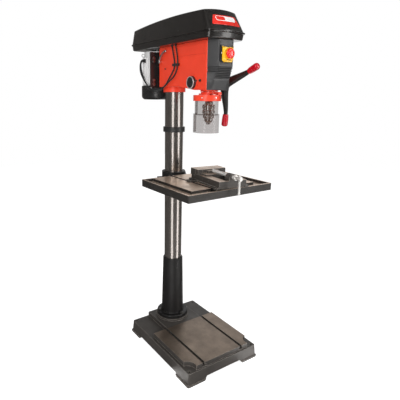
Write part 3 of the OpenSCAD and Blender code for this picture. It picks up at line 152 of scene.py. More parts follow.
class Recipe:
    """The nodes of one finish. All its patterns are set in the drill's own metres."""

    def __init__(self, name, rough=0.5, metal=0.0, base=(0.5, 0.5, 0.5), **sockets):
        self.material = bpy.data.materials.new(name)
        self.material.use_nodes = True
        self.material.diffuse_color = (*base, 1)
        self.tree = self.material.node_tree
        self.shader = self.tree.nodes["Principled BSDF"]
        self.fill(self.shader, {"Base Color": (*base, 1), "Roughness": rough, "Metallic": metal})
        self.fill(self.shader, {key.replace("_", " "): value for key, value in sockets.items()})
        self.place = self.add("ShaderNodeTexCoord").outputs["Object"]

    @staticmethod
    def fill(node, values):
        """Sets a node's inputs by name."""
        for key, value in values.items():
            node.inputs[key].default_value = value

    def add(self, kind, inputs=None, **settings):
        """A new node with its own settings and the values of its inputs."""
        node = self.tree.nodes.new(kind)
        for key, value in settings.items():
            setattr(node, key, value)
        self.fill(node, inputs or {})
        return node

    def link(self, source, target):
        self.tree.links.new(source, target)

    def stretched(self, scale, turn=(0, 0, 0)):
        node = self.add("ShaderNodeMapping", {"Scale": scale, "Rotation": turn})
        self.link(self.place, node.inputs["Vector"])
        return node.outputs["Vector"]

    def noise(self, scale, detail=3.0, rough=0.55, vector=None):
        node = self.add("ShaderNodeTexNoise", {"Scale": scale, "Detail": detail, "Roughness": rough})
        self.link(vector or self.place, node.inputs["Vector"])
        return node.outputs["Fac"]

    def cells(self, scale):
        node = self.add("ShaderNodeTexVoronoi", {"Scale": scale}, feature="F1")
        self.link(self.place, node.inputs["Vector"])
        return node.outputs["Distance"]

    def spread(self, source, low, high, to_low=0.0, to_high=1.0):
        node = self.add("ShaderNodeMapRange",
                        {"From Min": low, "From Max": high, "To Min": to_low, "To Max": to_high})
        self.link(source, node.inputs["Value"])
        return node.outputs["Result"]

    def combine(self, kind, a, b):
        node = self.add("ShaderNodeMath", operation=kind)
        for socket, value in zip(node.inputs, (a, b)):
            if isinstance(value, (int, float)):
                socket.default_value = value
            else:
                self.link(value, socket)
        return node.outputs["Value"]

    def blend(self, share, a, b):
        node = self.add("ShaderNodeMix", data_type="RGBA")
        self.link(share, node.inputs[0])
        for socket, value in ((node.inputs[6], a), (node.inputs[7], b)):
            if isinstance(value, (tuple, list)):
                socket.default_value = (*value[:3], 1)
            else:
                self.link(value, socket)
        return node.outputs[2]

    def axis(self, which):
        node = self.add("ShaderNodeSeparateXYZ")
        self.link(self.place, node.inputs["Vector"])
        return node.outputs[which]

    def facing_up(self):
        normal = self.add("ShaderNodeTexCoord").outputs["Normal"]
        node = self.add("ShaderNodeSeparateXYZ")
        self.link(normal, node.inputs["Vector"])
        return node.outputs["Z"]

    def edges(self, radius):
        """1 along the object's sharp edges, 0 on its faces."""
        soft = self.add("ShaderNodeBevel", {"Radius": radius}, samples=6)
        plain = self.add("ShaderNodeNewGeometry").outputs["Normal"]
        dot = self.add("ShaderNodeVectorMath", operation="DOT_PRODUCT")
        self.link(soft.outputs["Normal"], dot.inputs[0])
        self.link(plain, dot.inputs[1])
        return self.spread(dot.outputs["Value"], 0.98, 0.80)

    def mottled(self, source, base, dark, light):
        """The base colour, wandering between a darker and a lighter shade of it."""
        return self.blend(self.spread(source, 0.3, 0.7), shade(base, dark), shade(base, light))

    def worn(self, radius, scale, detail, *limits):
        """Uneven patches along the edges."""
        patches = self.spread(self.noise(scale, detail, 0.7), *limits)
        return self.combine("MULTIPLY", self.edges(radius), patches)

    def colour(self, source):
        self.link(source, self.shader.inputs["Base Color"])

    def rough(self, source, low, high):
        self.link(self.spread(source, 0.3, 0.7, low, high), self.shader.inputs["Roughness"])

    def relief(self, heights, soft_edge=0.0):
        """Adds bumps: pairs of (height source, depth in metres)."""
        normal = None
        if soft_edge:
            normal = self.add("ShaderNodeBevel", {"Radius": soft_edge}, samples=6).outputs["Normal"]
        for source, depth in heights:
            bump = self.add("ShaderNodeBump", {"Strength": 1.0, "Distance": depth})
            self.link(source, bump.inputs["Height"])
            if normal is not None:
                self.link(normal, bump.inputs["Normal"])
            normal = bump.outputs["Normal"]
        if normal is not None:
            self.link(normal, self.shader.inputs["Normal"])
        return self


def shade(base, factor):
    return tuple(min(1.0, c * factor) for c in base)


def enamel(name, base, rough=0.28, peel=0.00004, coat=0.25, wear=None, soft=0.0012):
    """Sprayed or stoved paint: slight orange peel, cloudy tone, worn edges."""
    r = Recipe(name, rough, 0.0, base, Coat_Weight=coat, Coat_Roughness=0.12)
    tone = r.mottled(r.noise(9, 4), base, 0.93, 1.06)
    dust = r.spread(r.noise(70, 6, 0.7), 0.62, 0.80, 0.0, 0.15)
    tone = r.blend(dust, tone, shade(base, 0.80))
    if wear:
        tone = r.blend(r.worn(0.0011, 130, 5, 0.44, 0.62), tone, wear)
    r.colour(tone)
    r.rough(r.noise(26, 4), rough - 0.05, rough + 0.09)
    return r.relief([(r.noise(420, 2), peel), (r.noise(60, 2), peel * 2.5)], soft).material


def textured_coat(name, base, rough=0.46, soft=0.0012):
    """Fine-textured powder coat on pressed sheet."""
    r = Recipe(name, rough, 0.0, base, Specular_IOR_Level=0.5, Coat_Weight=1.0, Coat_Roughness=0.10)
    tone = r.mottled(r.noise(6, 4), base, 0.85, 1.20)
    r.colour(r.blend(r.worn(0.0014, 90, 4, 0.40, 0.65, 0.1, 0.8), tone, shade(base, 5.0)))
    r.rough(r.noise(18, 4), rough - 0.06, rough + 0.08)
    return r.relief([(r.cells(900), 0.000008), (r.noise(1500, 2), 0.000008)], soft).material


def machined_mask(r, tests):
    """1 inside a box of the drill's own metres, on faces that look up."""
    mask = r.spread(r.facing_up(), 0.90, 0.97)
    for which, low, high in tests:
        at = r.axis(which)
        mask = r.combine("MULTIPLY", mask, r.combine("GREATER_THAN", at, low))
        mask = r.combine("MULTIPLY", mask, r.combine("LESS_THAN", at, high))
    return mask


def cast_iron(name, paint, ground, tests, lines=(1, 60, 1), rough=0.50, brush_turn=0.0):
    """Painted sand casting whose machined faces are bare, oiled and stained; its edges are lightened in
    patches, partly worn paint and partly painted highlight.
    """
    r = Recipe(name, rough, 0.0, paint, Specular_IOR_Level=0.5)
    painted = r.mottled(r.noise(7, 5, 0.6), paint, 0.80, 1.22)
    painted = r.blend(r.spread(r.noise(120, 4, 0.7), 0.60, 0.75, 0.0, 0.5), painted, shade(paint, 1.7))
    # Edges lightened sixfold in noisy patches: partly worn paint, partly a painted highlight along every edge.
    painted = r.blend(r.worn(0.0032, 50, 5, 0.34, 0.52, 0.25, 1.0), painted, shade(paint, 6.5))
    stain = r.spread(r.noise(13, 6, 0.65), 0.32, 0.68)
    bare = r.blend(stain, shade(ground, 0.66), shade(ground, 1.18))
    bare = r.blend(r.spread(r.noise(33, 5, 0.7), 0.56, 0.74, 0.0, 0.55), bare, shade(ground, 0.55))
    brush = r.noise(150, 3, 0.6, r.stretched(lines, (0, 0, brush_turn)))
    bare = r.blend(r.spread(brush, 0.35, 0.65, 0.0, 0.28), bare, shade(ground, 1.5))
    mask = machined_mask(r, tests)
    r.colour(r.blend(mask, painted, bare))
    shine = r.spread(r.noise(20, 5), 0.3, 0.7, -0.05, 0.07)
    r.link(r.combine("ADD", r.spread(mask, 0, 1, rough, 0.36), shine), r.shader.inputs["Roughness"])
    r.link(r.spread(mask, 0, 1, 0.0, 0.75), r.shader.inputs["Metallic"])
    grain = r.combine("MULTIPLY", r.noise(520, 3, 0.7), r.spread(mask, 0, 1, 1.0, 0.06))
    return r.relief([(grain, 0.00026), (brush, 0.00001)], 0.0013).material


def turned_metal(name, base, rough=0.26, lines=(1, 1, 45), metal=1.0, soft=0.0006, stain=0.25, streak=300):
    """Turned, ground or brushed metal: fine tool lines and faint stains."""
    r = Recipe(name, rough, metal, base)
    fine = r.noise(streak, 3, 0.6, r.stretched(lines))
    tone = r.mottled(fine, base, 0.92, 1.06)
    tone = r.blend(r.spread(r.noise(24, 5, 0.65), 0.50, 0.74, 0.0, stain), tone, shade(base, 0.62))
    r.colour(tone)
    r.rough(r.noise(9, 4), rough - 0.01, rough + 0.02)
    return r.relief([], soft).material


def zinc(name, base=(0.62, 0.62, 0.61)):
    """Bright zinc plating with its spangle."""
    r = Recipe(name, 0.30, 0.7, base)
    spangle = r.spread(r.cells(420), 0.0, 0.6)
    r.colour(r.blend(spangle, shade(base, 0.80), shade(base, 1.15)))
    r.rough(r.noise(90, 3), 0.24, 0.42)
    return r.relief([(r.noise(700, 2), 0.00001)], 0.0005).material


def moulded(name, base, rough=0.42, grain=0.00004, scale=900, soft=0.0010, coat=0.0):
    """Injection-moulded plastic with a spark-eroded grain."""
    r = Recipe(name, rough, 0.0, base, Coat_Weight=coat, Coat_Roughness=0.1)
    tone = r.mottled(r.noise(12, 4), base, 0.90, 1.10)
    r.colour(r.blend(r.worn(0.0010, 120, 4, 0.42, 0.62, 0.0, 0.5), tone, shade(base, 1.9)))
    r.rough(r.noise(40, 4), rough - 0.05, rough + 0.07)
    return r.relief([(r.cells(scale), grain), (r.noise(30, 2), grain * 2)], soft).material


def rubber(name, base, rough=0.55):
    """Sheath or belt rubber with a dusty bloom."""
    r = Recipe(name, rough, 0.0, base, Sheen_Weight=0.15)
    bloom = r.spread(r.noise(60, 5, 0.7), 0.45, 0.75, 0.0, 0.5)
    r.colour(r.blend(bloom, base, shade(base, 2.0)))
    r.rough(r.noise(80, 3), rough - 0.06, rough + 0.08)
    return r.relief([(r.noise(900, 2), 0.00002)]).material


def clear_sheet(name, tint):
    """Clear, slightly smoked sheet with a faint haze and fine scratches."""
    r = Recipe(name, 0.06, 0.0, tint, Alpha=0.37, IOR=1.49)
    haze = r.spread(r.noise(14, 4), 0.35, 0.7)
    r.colour(r.blend(haze, shade(tint, 0.88), shade(tint, 1.10)))
    scratch = r.noise(260, 2, 0.6, r.stretched((1, 1, 0.06), (0.5, 0.2, 0)))
    r.rough(scratch, 0.04, 0.14)
    return r.relief([(r.noise(25, 2), 0.00003)]).material


def chrome(name):
    """Polished plate with slight pitting."""
    base = (0.80, 0.80, 0.81)
    r = Recipe(name, 0.08, 1.0, base)
    pits = r.spread(r.noise(160, 5, 0.7), 0.60, 0.72, 0.0, 0.5)
    r.colour(r.blend(pits, base, (0.42, 0.40, 0.37)))
    r.rough(r.noise(60, 4), 0.06, 0.16)
    return r.relief([(r.noise(300, 2), 0.000006)]).material


def make_finishes():
    c = colours()
    iron = tuple(c.iron_paint)
    ground = tuple(c.ground_iron)
    soft = sizes().edge
    base_tests = [("Z", 0.0845, 0.0875), ("Y", -0.262, 0.065)]
    table_tests = [("Z", TABLE_Z - 0.0125, TABLE_Z + 0.001)]
    vise_tests = [("Z", 0.9235, 0.952)]
    made = {
        "base_iron": cast_iron("cast base", iron, ground, base_tests, (60, 1, 1)),
        # The table takes the base's iron finish with painted light and shade: its paint darkened to 0.4
        # (painted shade), its bare top brightened threefold (painted light standing in for the reflections it
        # shows).
        "table_iron": cast_iron("cast table", shade(iron, 0.4), shade(ground, 3.0), table_tests, (60, 1, 1)),
        "vise_iron": cast_iron("cast vise", shade(iron, 0.85), shade(ground, 2.5), vise_tests,
                               (60, 1, 1), brush_turn=VISE_TURN),
        "painted_iron": enamel("black casting paint", (0.008, 0.0075, 0.0075), 0.46, 0.00010, 0.0,
                               (0.16, 0.15, 0.14), soft),
        "ground_column": turned_metal("ground column", (0.43, 0.40, 0.38), 0.25, (1, 1, 30), soft=0,
                                      stain=0.10),
        "black_fittings": enamel("blackened fittings", (0.020, 0.020, 0.020), 0.38, 0.00003, 0.0,
                                 (0.20, 0.19, 0.18), 0.0007),
        "steel_bolts": zinc("blackened bolts", (0.10, 0.095, 0.09)),
        "zinc_bolts": zinc("bright bolts", (0.80, 0.80, 0.79)),
        "head_red": enamel("head enamel", tuple(c.head_red), 0.33, 0.00006, 0.12,
                           shade(tuple(c.head_red), 0.35), soft),
        "panel_grey": moulded("moulded panel", tuple(c.panel_grey), 0.44),
        "switch_black": moulded("switch plate", (0.012, 0.012, 0.013), 0.40),
        "spring_steel": turned_metal("blued spring", (0.18, 0.22, 0.30), 0.30, (45, 1, 1)),
        "cover_black": textured_coat("cover coat", tuple(c.cover_black), 0.36, soft),
        "pulley_alloy": turned_metal("turned pulleys", (0.66, 0.67, 0.68), 0.27, (1, 1, 60)),
        "post_steel": turned_metal("turned posts", (0.42, 0.42, 0.42), 0.25, (1, 60, 1)),
        "belt_rubber": rubber("belt rubber", (0.014, 0.014, 0.014), 0.62),
        "lead_rubber": rubber("lead sheath", (0.010, 0.010, 0.010), 0.40),
        "start_green": moulded("green button", (0.02, 0.30, 0.06), 0.26, 0.00001, 600, 0.0006, 0.4),
        "stop_red": moulded("red knob", (0.78, 0.015, 0.012), 0.24, 0.00001, 600, 0.0008, 0.5),
        "flap_yellow": moulded("yellow flap", tuple(c.flap_yellow), 0.30, 0.00001, 600, 0.0010, 0.35),
        "motor_grey": enamel("motor enamel", tuple(c.motor_grey), 0.34, 0.00004, 0.2,
                             (0.20, 0.20, 0.20), 0.0008),
        "motor_black": enamel("motor black", (0.014, 0.014, 0.014), 0.30, 0.00004, 0.2,
                              (0.14, 0.14, 0.14), soft),
        "lever_chrome": chrome("chromed lever"),
        "rack_steel": turned_metal("milled rack", (0.32, 0.31, 0.30), 0.34, (1, 1, 50)),
        "crank_iron": enamel("crank paint", (0.017, 0.017, 0.017), 0.34, 0.00008, 0.1,
                             (0.16, 0.15, 0.14), soft),
        "grip_black": moulded("black grip", (0.013, 0.013, 0.013), 0.36),
        "screw_steel": turned_metal("bright screw", (0.80, 0.78, 0.75), 0.30, (1, 40, 1), 0.65, stain=0.12),
        "quill_steel": turned_metal("ground quill", (0.58, 0.57, 0.56), 0.22, (1, 1, 70)),
        "bearing_steel": turned_metal("bearing rings", (0.62, 0.62, 0.64), 0.18, (1, 1, 70)),
        "clear_shield": clear_sheet("clear guard", tuple(c.guard_tint)),
        "chuck_steel": turned_metal("turned chuck", (0.97, 0.96, 0.95), 0.13, (1, 1, 40), soft=0, stain=0.2),
        "feed_black": enamel("feed paint", (0.015, 0.014, 0.014), 0.32, 0.00008, 0.15,
                             (0.12, 0.12, 0.11), soft),
        "grip_red": moulded("dipped grips", tuple(c.grip_red), 0.20, 0.000008, 500, 0.0010, 0.6),
        "dial_alloy": turned_metal("dial", (0.68, 0.68, 0.68), 0.28, (60, 1, 1)),
        "dial_ink": moulded("dial ink", (0.015, 0.015, 0.015), 0.5),
        "badge_red": moulded("badge red", (0.70, 0.020, 0.010), 0.30, 0.000006, 500, 0.0004, 0.4),
        "badge_pale": moulded("badge pale", (0.80, 0.79, 0.78), 0.32, 0.000006, 500, 0.0004, 0.4),
    }
    FINISHES.update(made)


# Shapes

def smooth_piece(name, verts, faces, slot, body, finish=None, angle=32, also=()):
    """A mesh in the drill's frame, shaded smooth except at real edges, that rides on a body."""
    mesh = bpy.data.meshes.new(name)
    mesh.from_pydata([tuple(v) for v in verts], [], [tuple(f) for f in faces])
    mesh.validate()
    bm = bmesh.new()
    bm.from_mesh(mesh)
    bmesh.ops.remove_doubles(bm, verts=bm.verts, dist=1e-6)
    bmesh.ops.recalc_face_normals(bm, faces=bm.faces)
    bm.to_mesh(mesh)
    bm.free()
    return finish_piece(name, mesh, slot, body, finish, angle, also)


def finish_piece(name, mesh, slot, body, finish=None, angle=32, also=()):
    for polygon in mesh.polygons:
        polygon.use_smooth = True
    mesh.set_sharp_from_angle(angle=math.radians(angle))
    piece = bpy.data.objects.new(name, mesh)
    bpy.context.scene.collection.objects.link(piece)
    mesh.materials.append(FINISHES[finish or slot])
    for extra in also:
        mesh.materials.append(FINISHES[extra])
    if body:
        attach(piece, body)
    return piece


def turn(verts, axis, at):
    """Moves points drawn round +Z so that +Z becomes the axis and the origin comes to a place."""
    spin = Vector((0, 0, 1)).rotation_difference(Vector(axis).normalized()).to_matrix()
    return [spin @ Vector(v) + Vector(at) for v in verts]


def mm(*points):
    """Points written in millimetres, in metres."""
    return [tuple(value / 1000 for value in point) for point in points]


def around(steps):
    """Evenly spaced angles of one full turn."""
    return [2 * math.pi * k / steps for k in range(steps)]


def outward(degrees):
    """A level direction, as an angle from +X."""
    a = math.radians(degrees)
    return (math.cos(a), math.sin(a), 0)


def loft(loops, closed=False):
    """Skin between outlines that have the same number of points."""
    count = len(loops[0])
    verts = [v for loop in loops for v in loop]
    faces = []
    for i in range(len(loops) if closed else len(loops) - 1):
        j = (i + 1) % len(loops)
        for k in range(count):
            n = (k + 1) % count
            faces.append((i * count + k, i * count + n, j * count + n, j * count + k))
    return verts, faces


def capped_loft(loops):
    """The same skin, with its first and last outline closed."""
    verts, faces = loft(loops)
    count = len(loops[0])
    faces.append(tuple(range(count))[::-1])
    faces.append(tuple((len(loops) - 1) * count + k for k in range(count)))
    return verts, faces


def turned_rows(profile, steps, wobble=None):
    """A circle of points round +Z for each (radius, height) of a profile."""
    rows = []
    for radius, z in profile:
        row = []
        for a in around(steps):
            reach = wobble(radius, z, a) if wobble else radius
            row.append((reach * math.cos(a), reach * math.sin(a), z))
        rows.append(row)
    return rows


def lathe(profile, steps=48, wobble=None):
    """A profile of (radius, height) turned round +Z, with flat ends."""
    return capped_loft(turned_rows(profile, steps, wobble))


def ring_of(profile, steps=48, wobble=None):
    """A closed profile of (radius, height) turned round +Z: a ring, with no caps."""
    return loft(turned_rows(profile, steps, wobble), True)


def join(*parts):
    verts, faces = [], []
    for v, f in parts:
        shift = len(verts)
        verts += [tuple(p) for p in v]
        faces += [tuple(i + shift for i in face) for face in f]
    return verts, faces


def placed(part, axis=(0, 0, 1), at=(0, 0, 0)):
    return turn(part[0], axis, at), part[1]


def part_of(bm):
    """Points and faces of a bmesh, which is then freed."""
    bm.verts.index_update()
    part = [tuple(v.co) for v in bm.verts], [tuple(v.index for v in f.verts) for f in bm.faces]
    bm.free()
    return part


def hull(points, angle):
    """The convex hull of a set of points, with its flat faces joined up."""
    bm = bmesh.new()
    for p in points:
        bm.verts.new(p)
    out = bmesh.ops.convex_hull(bm, input=bm.verts)
    loose = [e for e in out["geom_interior"] + out["geom_unused"] if isinstance(e, bmesh.types.BMVert)]
    bmesh.ops.delete(bm, geom=list(set(loose)), context="VERTS")
    bmesh.ops.dissolve_limit(bm, angle_limit=math.radians(angle), verts=bm.verts, edges=bm.edges)
    return part_of(bm)


def block(low, high, radius=0.0008, steps=3):
    """A box with rounded edges."""
    bm = bmesh.new()
    bmesh.ops.create_cube(bm, size=1.0)
    size = [h - l for l, h in zip(low, high)]
    for v in bm.verts:
        v.co = Vector([(c + 0.5) * s + l for c, s, l in zip(v.co, size, low)])
    bmesh.ops.bevel(bm, geom=bm.edges, offset=min(radius, min(size) * 0.45), segments=steps,
                    profile=0.5, affect="EDGES")
    return part_of(bm)


def smooth_route(points, steps=8):
    """A smooth curve through the points."""
    out = []
    for i in range(len(points) - 1):
        a, b, c, d = (Vector(points[j]) for j in (max(i - 1, 0), i, i + 1, min(i + 2, len(points) - 1)))
        for s in range(steps):
            t = s / steps
            out.append(0.5 * ((2 * b) + (c - a) * t + (2 * a - 5 * b + 4 * c - d) * t * t
                              + (3 * b - 3 * c + d - a) * t ** 3))
    return out + [Vector(points[-1])]


def swept(route, radii, steps, flat=1.0, up=(0, 0, 1)):
    """A tube along a route; its radius is a number or one for each point."""
    count = len(route)
    if not hasattr(radii, "__len__"):
        radii = [radii] * count
    side = None
    loops = []
    for i, p in enumerate(route):
        t = (route[min(i + 1, count - 1)] - route[max(i - 1, 0)]).normalized()
        if side is None:
            side = t.cross(Vector(up)).normalized()
        side = (side - t * side.dot(t)).normalized()
        top = t.cross(side)
        loops.append([p + radii[i] * (math.cos(a) * side + flat * math.sin(a) * top) for a in around(steps)])
    return capped_loft(loops)


def rod(radius, start, end, steps=40):
    """A round bar between two points."""
    start, end = Vector(start), Vector(end)
    return placed(lathe([(radius, 0), (radius, (end - start).length)], steps), end - start, start)


def socket_screw(radius, height):
    """A screw head with a rounded rim and a six-sided recess, standing on z = 0."""
    sixth, hole = math.pi / 3, radius * 0.5
    rings = [(radius, 0), (radius, height * 0.72), (radius * 0.96, height * 0.90), (radius * 0.86, height),
             (hole, height), (hole, height * 0.4)]

    def recess(r, _, a):
        return r * math.cos(sixth / 2) / math.cos(a % sixth - sixth / 2) if r == hole else r

    return lathe(rings, 36, recess)


def cross_screw(radius, height):
    """A domed screw head with a cross recess."""
    dome = 0.97
    rows = []
    for share, z in ((1.0, 0.0), (1.0, 0.35), (0.90, 0.68), (0.72, 0.90), (0.58, dome), (0.44, 0.80),
                     (0.12, 0.35)):
        row = []
        for a in around(40):
            filled = 0.0 if share > 0.5 or abs(math.cos(2 * a)) > 0.92 else 0.62
            row.append((radius * share * math.cos(a), radius * share * math.sin(a),
                        height * (z + filled * (dome - z))))
        rows.append(row)
    return capped_loft(rows)


def rounded_outline(corners, radius, steps=8):
    """A flat outline with its corners rounded, evenly filled along its sides."""
    points = []
    count = len(corners)
    for i in range(count):
        a, b, c, d = (Vector(corners[(i + k) % count]) for k in (-1, 0, 1, 2))
        into, out = (a - b).normalized(), (c - b).normalized()
        half = into.angle(out) / 2
        centre = b + (into + out).normalized() * (radius / math.sin(half))
        reach = radius / math.tan(half)
        start, end = b + into * reach, b + out * reach
        for s in range(steps + 1):
            share = s / steps
            spoke = ((start - centre) * (1 - share) + (end - centre) * share).normalized()
            points.append(tuple(centre + spoke * radius))
        next_half = (b - c).angle(d - c) / 2
        stop = c + (b - c).normalized() * (radius / math.tan(next_half))
        for s in range(1, 10):
            points.append(tuple(end + (stop - end) * s / 10))
    return points


def carved(name, solid, cutters):
    """A mesh of one closed part with others cut out of it."""
    def temporary(part):
        mesh = bpy.data.meshes.new(name + "_shape")
        mesh.from_pydata([tuple(v) for v in part[0]], [], part[1])
        bm = bmesh.new()
        bm.from_mesh(mesh)
        bmesh.ops.recalc_face_normals(bm, faces=bm.faces)
        bm.to_mesh(mesh)
        bm.free()
        thing = bpy.data.objects.new(name + "_shape", mesh)
        bpy.context.scene.collection.objects.link(thing)
        return thing

    body = temporary(solid)
    tools = [temporary(part) for part in cutters]
    for tool in tools:
        cut = body.modifiers.new("cut", "BOOLEAN")
        cut.operation, cut.solver, cut.object = "DIFFERENCE", "EXACT", tool
    bpy.context.view_layer.update()
    result = bpy.data.meshes.new_from_object(body.evaluated_get(bpy.context.evaluated_depsgraph_get()))
    result.name = name
    for thing in [body] + tools:
        mesh = thing.data
        bpy.data.objects.remove(thing)
        bpy.data.meshes.remove(mesh)
    return result


def in_vise(x, y, z):
    """A place given along the turned vise, in the drill's frame."""
    c, s = math.cos(VISE_TURN), math.sin(VISE_TURN)
    return (VISE_AT[0] + x * c - y * s, VISE_AT[1] + x * s + y * c, z)


# Operators

class DRILL_OT_studio(bpy.types.Operator):
    """Set the camera, the soft lights, the pale surround and the floor"""
    bl_idname = "drill.studio"
    bl_label = "Studio"

    strips, strip_half, middle_half = (-139, -62), 8, 3.2

    def execute(self, context):
        scene = context.scene
        studio = scene.drill_studio
        scene.view_settings.view_transform = "Standard"

        data = bpy.data.cameras.new("camera")
        data.sensor_width = 36.0
        data.lens = 35.2776
        data.shift_x = 0.07163
        data.shift_y = -0.01989
        data.clip_end = 30
        camera = bpy.data.objects.new("camera", data)
        # Place and turn as fitted to the photograph
        right = Vector((0.83473118, -0.5506028, 0.00777252))
        up = Vector((0.124049, 0.20177687, 0.9715441))
        back = Vector((-0.53650322, -0.81001398, 0.23673117))
        turn_to = Matrix((right, up, back)).transposed().to_4x4()
        camera.matrix_world = Matrix.Translation((-1.105592, -1.47008, 1.268796)) @ turn_to
        scene.collection.objects.link(camera)
        scene.camera = camera

        self.light(context, "left softbox", (-2.05, -1.80, 1.45), (0, 0.18, 1.0), 0.80, 2.3, studio.key)
        self.light(context, "right softbox", (1.35, -2.30, 1.45), (0, 0.18, 1.0), 0.95, 2.3, studio.rim)
        self.light(context, "top softbox", (-0.5, -0.7, 3.3), (0, 0, 1.0), 1.6, 1.6, studio.top)

        world = bpy.data.worlds.new("surround")
        scene.world = world
        world.use_nodes = True
        tree = world.node_tree
        even = tree.nodes["Background"]
        even.inputs["Strength"].default_value = studio.world
        even.inputs["Color"].default_value = (1, 1, 1, 1)
        white = tree.nodes.new("ShaderNodeBackground")
        white.inputs["Color"].default_value = (1, 1, 1, 1)
        white.inputs["Strength"].default_value = 1.0
        pick = tree.nodes.new("ShaderNodeMixShader")
        tree.links.new(self.seen(tree), pick.inputs[0])
        tree.links.new(even.outputs[0], pick.inputs[1])
        tree.links.new(white.outputs[0], pick.inputs[2])
        tree.links.new(pick.outputs[0], tree.nodes["World Output"].inputs["Surface"])

        self.floor(context, studio.floor)
        self.flags(context)
        return {"FINISHED"}

    def flags(self, context):
        """Dark screens with two bright strips round the drill's front, which only its reflections show."""
        steps, radius, heights = 160, 1.92, (0.004, 1.40, 2.40, 4.0)
        turns = [-300 + 320 * i / steps for i in range(steps + 1)]
        away = [min(abs((a + b) / 2 - at) for at in self.strips) for a, b in zip(turns, turns[1:])]
        strip = [int(turn < self.strip_half) for turn in away]
        middle = [int(turn < self.middle_half) for turn in away]
        ring = [(radius * math.cos(a), COLUMN_Y + radius * math.sin(a)) for a in map(math.radians, turns)]
        verts = [(x, y, z) for z in heights for x, y in ring] + [(0, 0, heights[-1]), (0, 0, heights[0])]
        faces, tones = [], []
        for level in range(len(heights) - 1):
            for i in range(steps):
                low = level * (steps + 1) + i
                faces.append((low, low + 1, low + steps + 2, low + steps + 1))
                tones.append(strip[i] + (middle[i] if level == 1 else 0))
        last = len(verts)
        faces += [(last - 3 - i, last - 4 - i, last - 2) for i in range(steps)]
        faces += [(i, i + 1, last - 1) for i in range(steps)]
        tones += [0] * steps + strip
        mesh = bpy.data.meshes.new("flags")
        mesh.from_pydata(verts, [], faces)
        screen = bpy.data.objects.new("flags", mesh)
        context.scene.collection.objects.link(screen)
        screens = (("dark screen", 0.17, 0.0), ("bright strip", 0.8, 2.6), ("bright middle", 0.8, 10.0))
        for name, tone, glow in screens:
            look = Recipe(name, 1.0, 0.0, (tone, tone * 0.95, tone * 0.90),
                          Emission_Color=(1, 0.99, 0.98, 1), Emission_Strength=glow)
            mesh.materials.append(look.material)
        for polygon, bright in zip(mesh.polygons, tones):
            polygon.material_index = bright
        screen.visible_camera = screen.visible_diffuse = screen.visible_shadow = False
        screen.visible_transmission = False

    @staticmethod
    def seen(tree):
        """1 for rays that show the background itself: straight, mirrored or through clear sheet."""
        path = tree.nodes.new("ShaderNodeLightPath")
        total = None
        for name in ("Is Camera Ray", "Is Glossy Ray", "Is Transmission Ray"):
            if total is None:
                total = path.outputs[name]
                continue
            node = tree.nodes.new("ShaderNodeMath")
            node.operation = "MAXIMUM"
            tree.links.new(total, node.inputs[0])
            tree.links.new(path.outputs[name], node.inputs[1])
            total = node.outputs[0]
        return total

    @staticmethod
    def light(context, name, at, target, width, height, power):
        data = bpy.data.lights.new(name, "AREA")
        data.shape = "RECTANGLE"
        data.size, data.size_y, data.energy = width, height, power
        lamp = bpy.data.objects.new(name, data)
        lamp.location = at
        lamp.visible_glossy = False
        lamp.rotation_euler = (Vector(target) - Vector(at)).to_track_quat("-Z", "Y").to_euler()
        context.scene.collection.objects.link(lamp)

    def floor(self, context, side):
        h = side / 2
        mesh = bpy.data.meshes.new("floor")
        corners = [(x, y, -0.0005) for x, y in ((-h, -h), (h, -h), (h, h), (-h, h))]
        mesh.from_pydata(corners, [], [(0, 1, 2, 3)])
        floor = bpy.data.objects.new("floor", mesh)
        context.scene.collection.objects.link(floor)
        look = Recipe("pale floor", 0.9, 0.0, (0.86, 0.86, 0.86), Specular_IOR_Level=0.1)
        glow = look.add("ShaderNodeEmission", {"Color": (1, 1, 1, 1)})
        look.link(look.combine("MULTIPLY", self.seen(look.tree), 0.74), glow.inputs["Strength"])
        both = look.add("ShaderNodeAddShader")
        look.link(look.shader.outputs[0], both.inputs[0])
        look.link(glow.outputs[0], both.inputs[1])
        look.link(both.outputs[0], look.tree.nodes["Material Output"].inputs["Surface"])
        mesh.materials.append(look.material)


class DRILL_OT_finishes(bpy.types.Operator):
    """Give every CAD node the finish of its material slot"""
    bl_idname = "drill.finishes"
    bl_label = "Finishes"

    def execute(self, context):
        make_finishes()
        for name, node in NODES.items():
            material = FINISHES[SLOT_OF[name]]
            if not node.material_slots:
                node.data.materials.append(material)
            for slot in node.material_slots:
                slot.material = material
        return {"FINISHED"}


MOTOR_LEAD = mm((-67, 104, 1499), (-67, 102, 1490), (-67, 95, 1470), (-67, 87, 1445), (-67, 80, 1417),
                (-67, 83, 1395), (-67, 98, 1376), (-67, 123, 1352), (-68, 160, 1318), (-74, 200, 1304),
                (-84, 236, 1303), (-93, 262, 1308), (-96, 288, 1330), (-97, 318, 1356), (-97, 342, 1386),
                (-97, 347, 1416), (-94, 343, 1438), (-90, 337, 1445), (-84.8, 336, 1445))
SWITCH_LEAD = mm((-67, 75, 1499), (-67, 73, 1490), (-67, 65, 1470), (-67, 58, 1442), (-67, 55, 1409),
                 (-68, 66, 1379), (-70, 85, 1356), (-74, 124, 1332), (-77, 166, 1306), (-81, 204, 1295),
                 (-89, 240, 1295), (-97, 268, 1306), (-92, 294, 1328), (-91, 318, 1354), (-92, 336, 1382),
                 (-93, 344, 1408), (-94, 343, 1426), (-92, 338, 1437), (-84.8, 336, 1438))


class DRILL_OT_leads(bpy.types.Operator):
    """Sweep the two clipped leads from the belt tray to the motor's gland"""
    bl_idname = "drill.leads"
    bl_label = "Leads"

    def execute(self, context):
        for name, points in (("lead_motor", MOTOR_LEAD), ("lead_switch", SWITCH_LEAD)):
            part = swept(smooth_route(points, 7), sizes().lead_diameter / 2, 16)
            mesh = bpy.data.meshes.new(name)
            mesh.from_pydata(part[0], [], part[1])
            piece = finish_piece(name, mesh, "lead_rubber", None, angle=40)
            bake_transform(piece)
            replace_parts(piece, "leads")
        return {"FINISHED"}


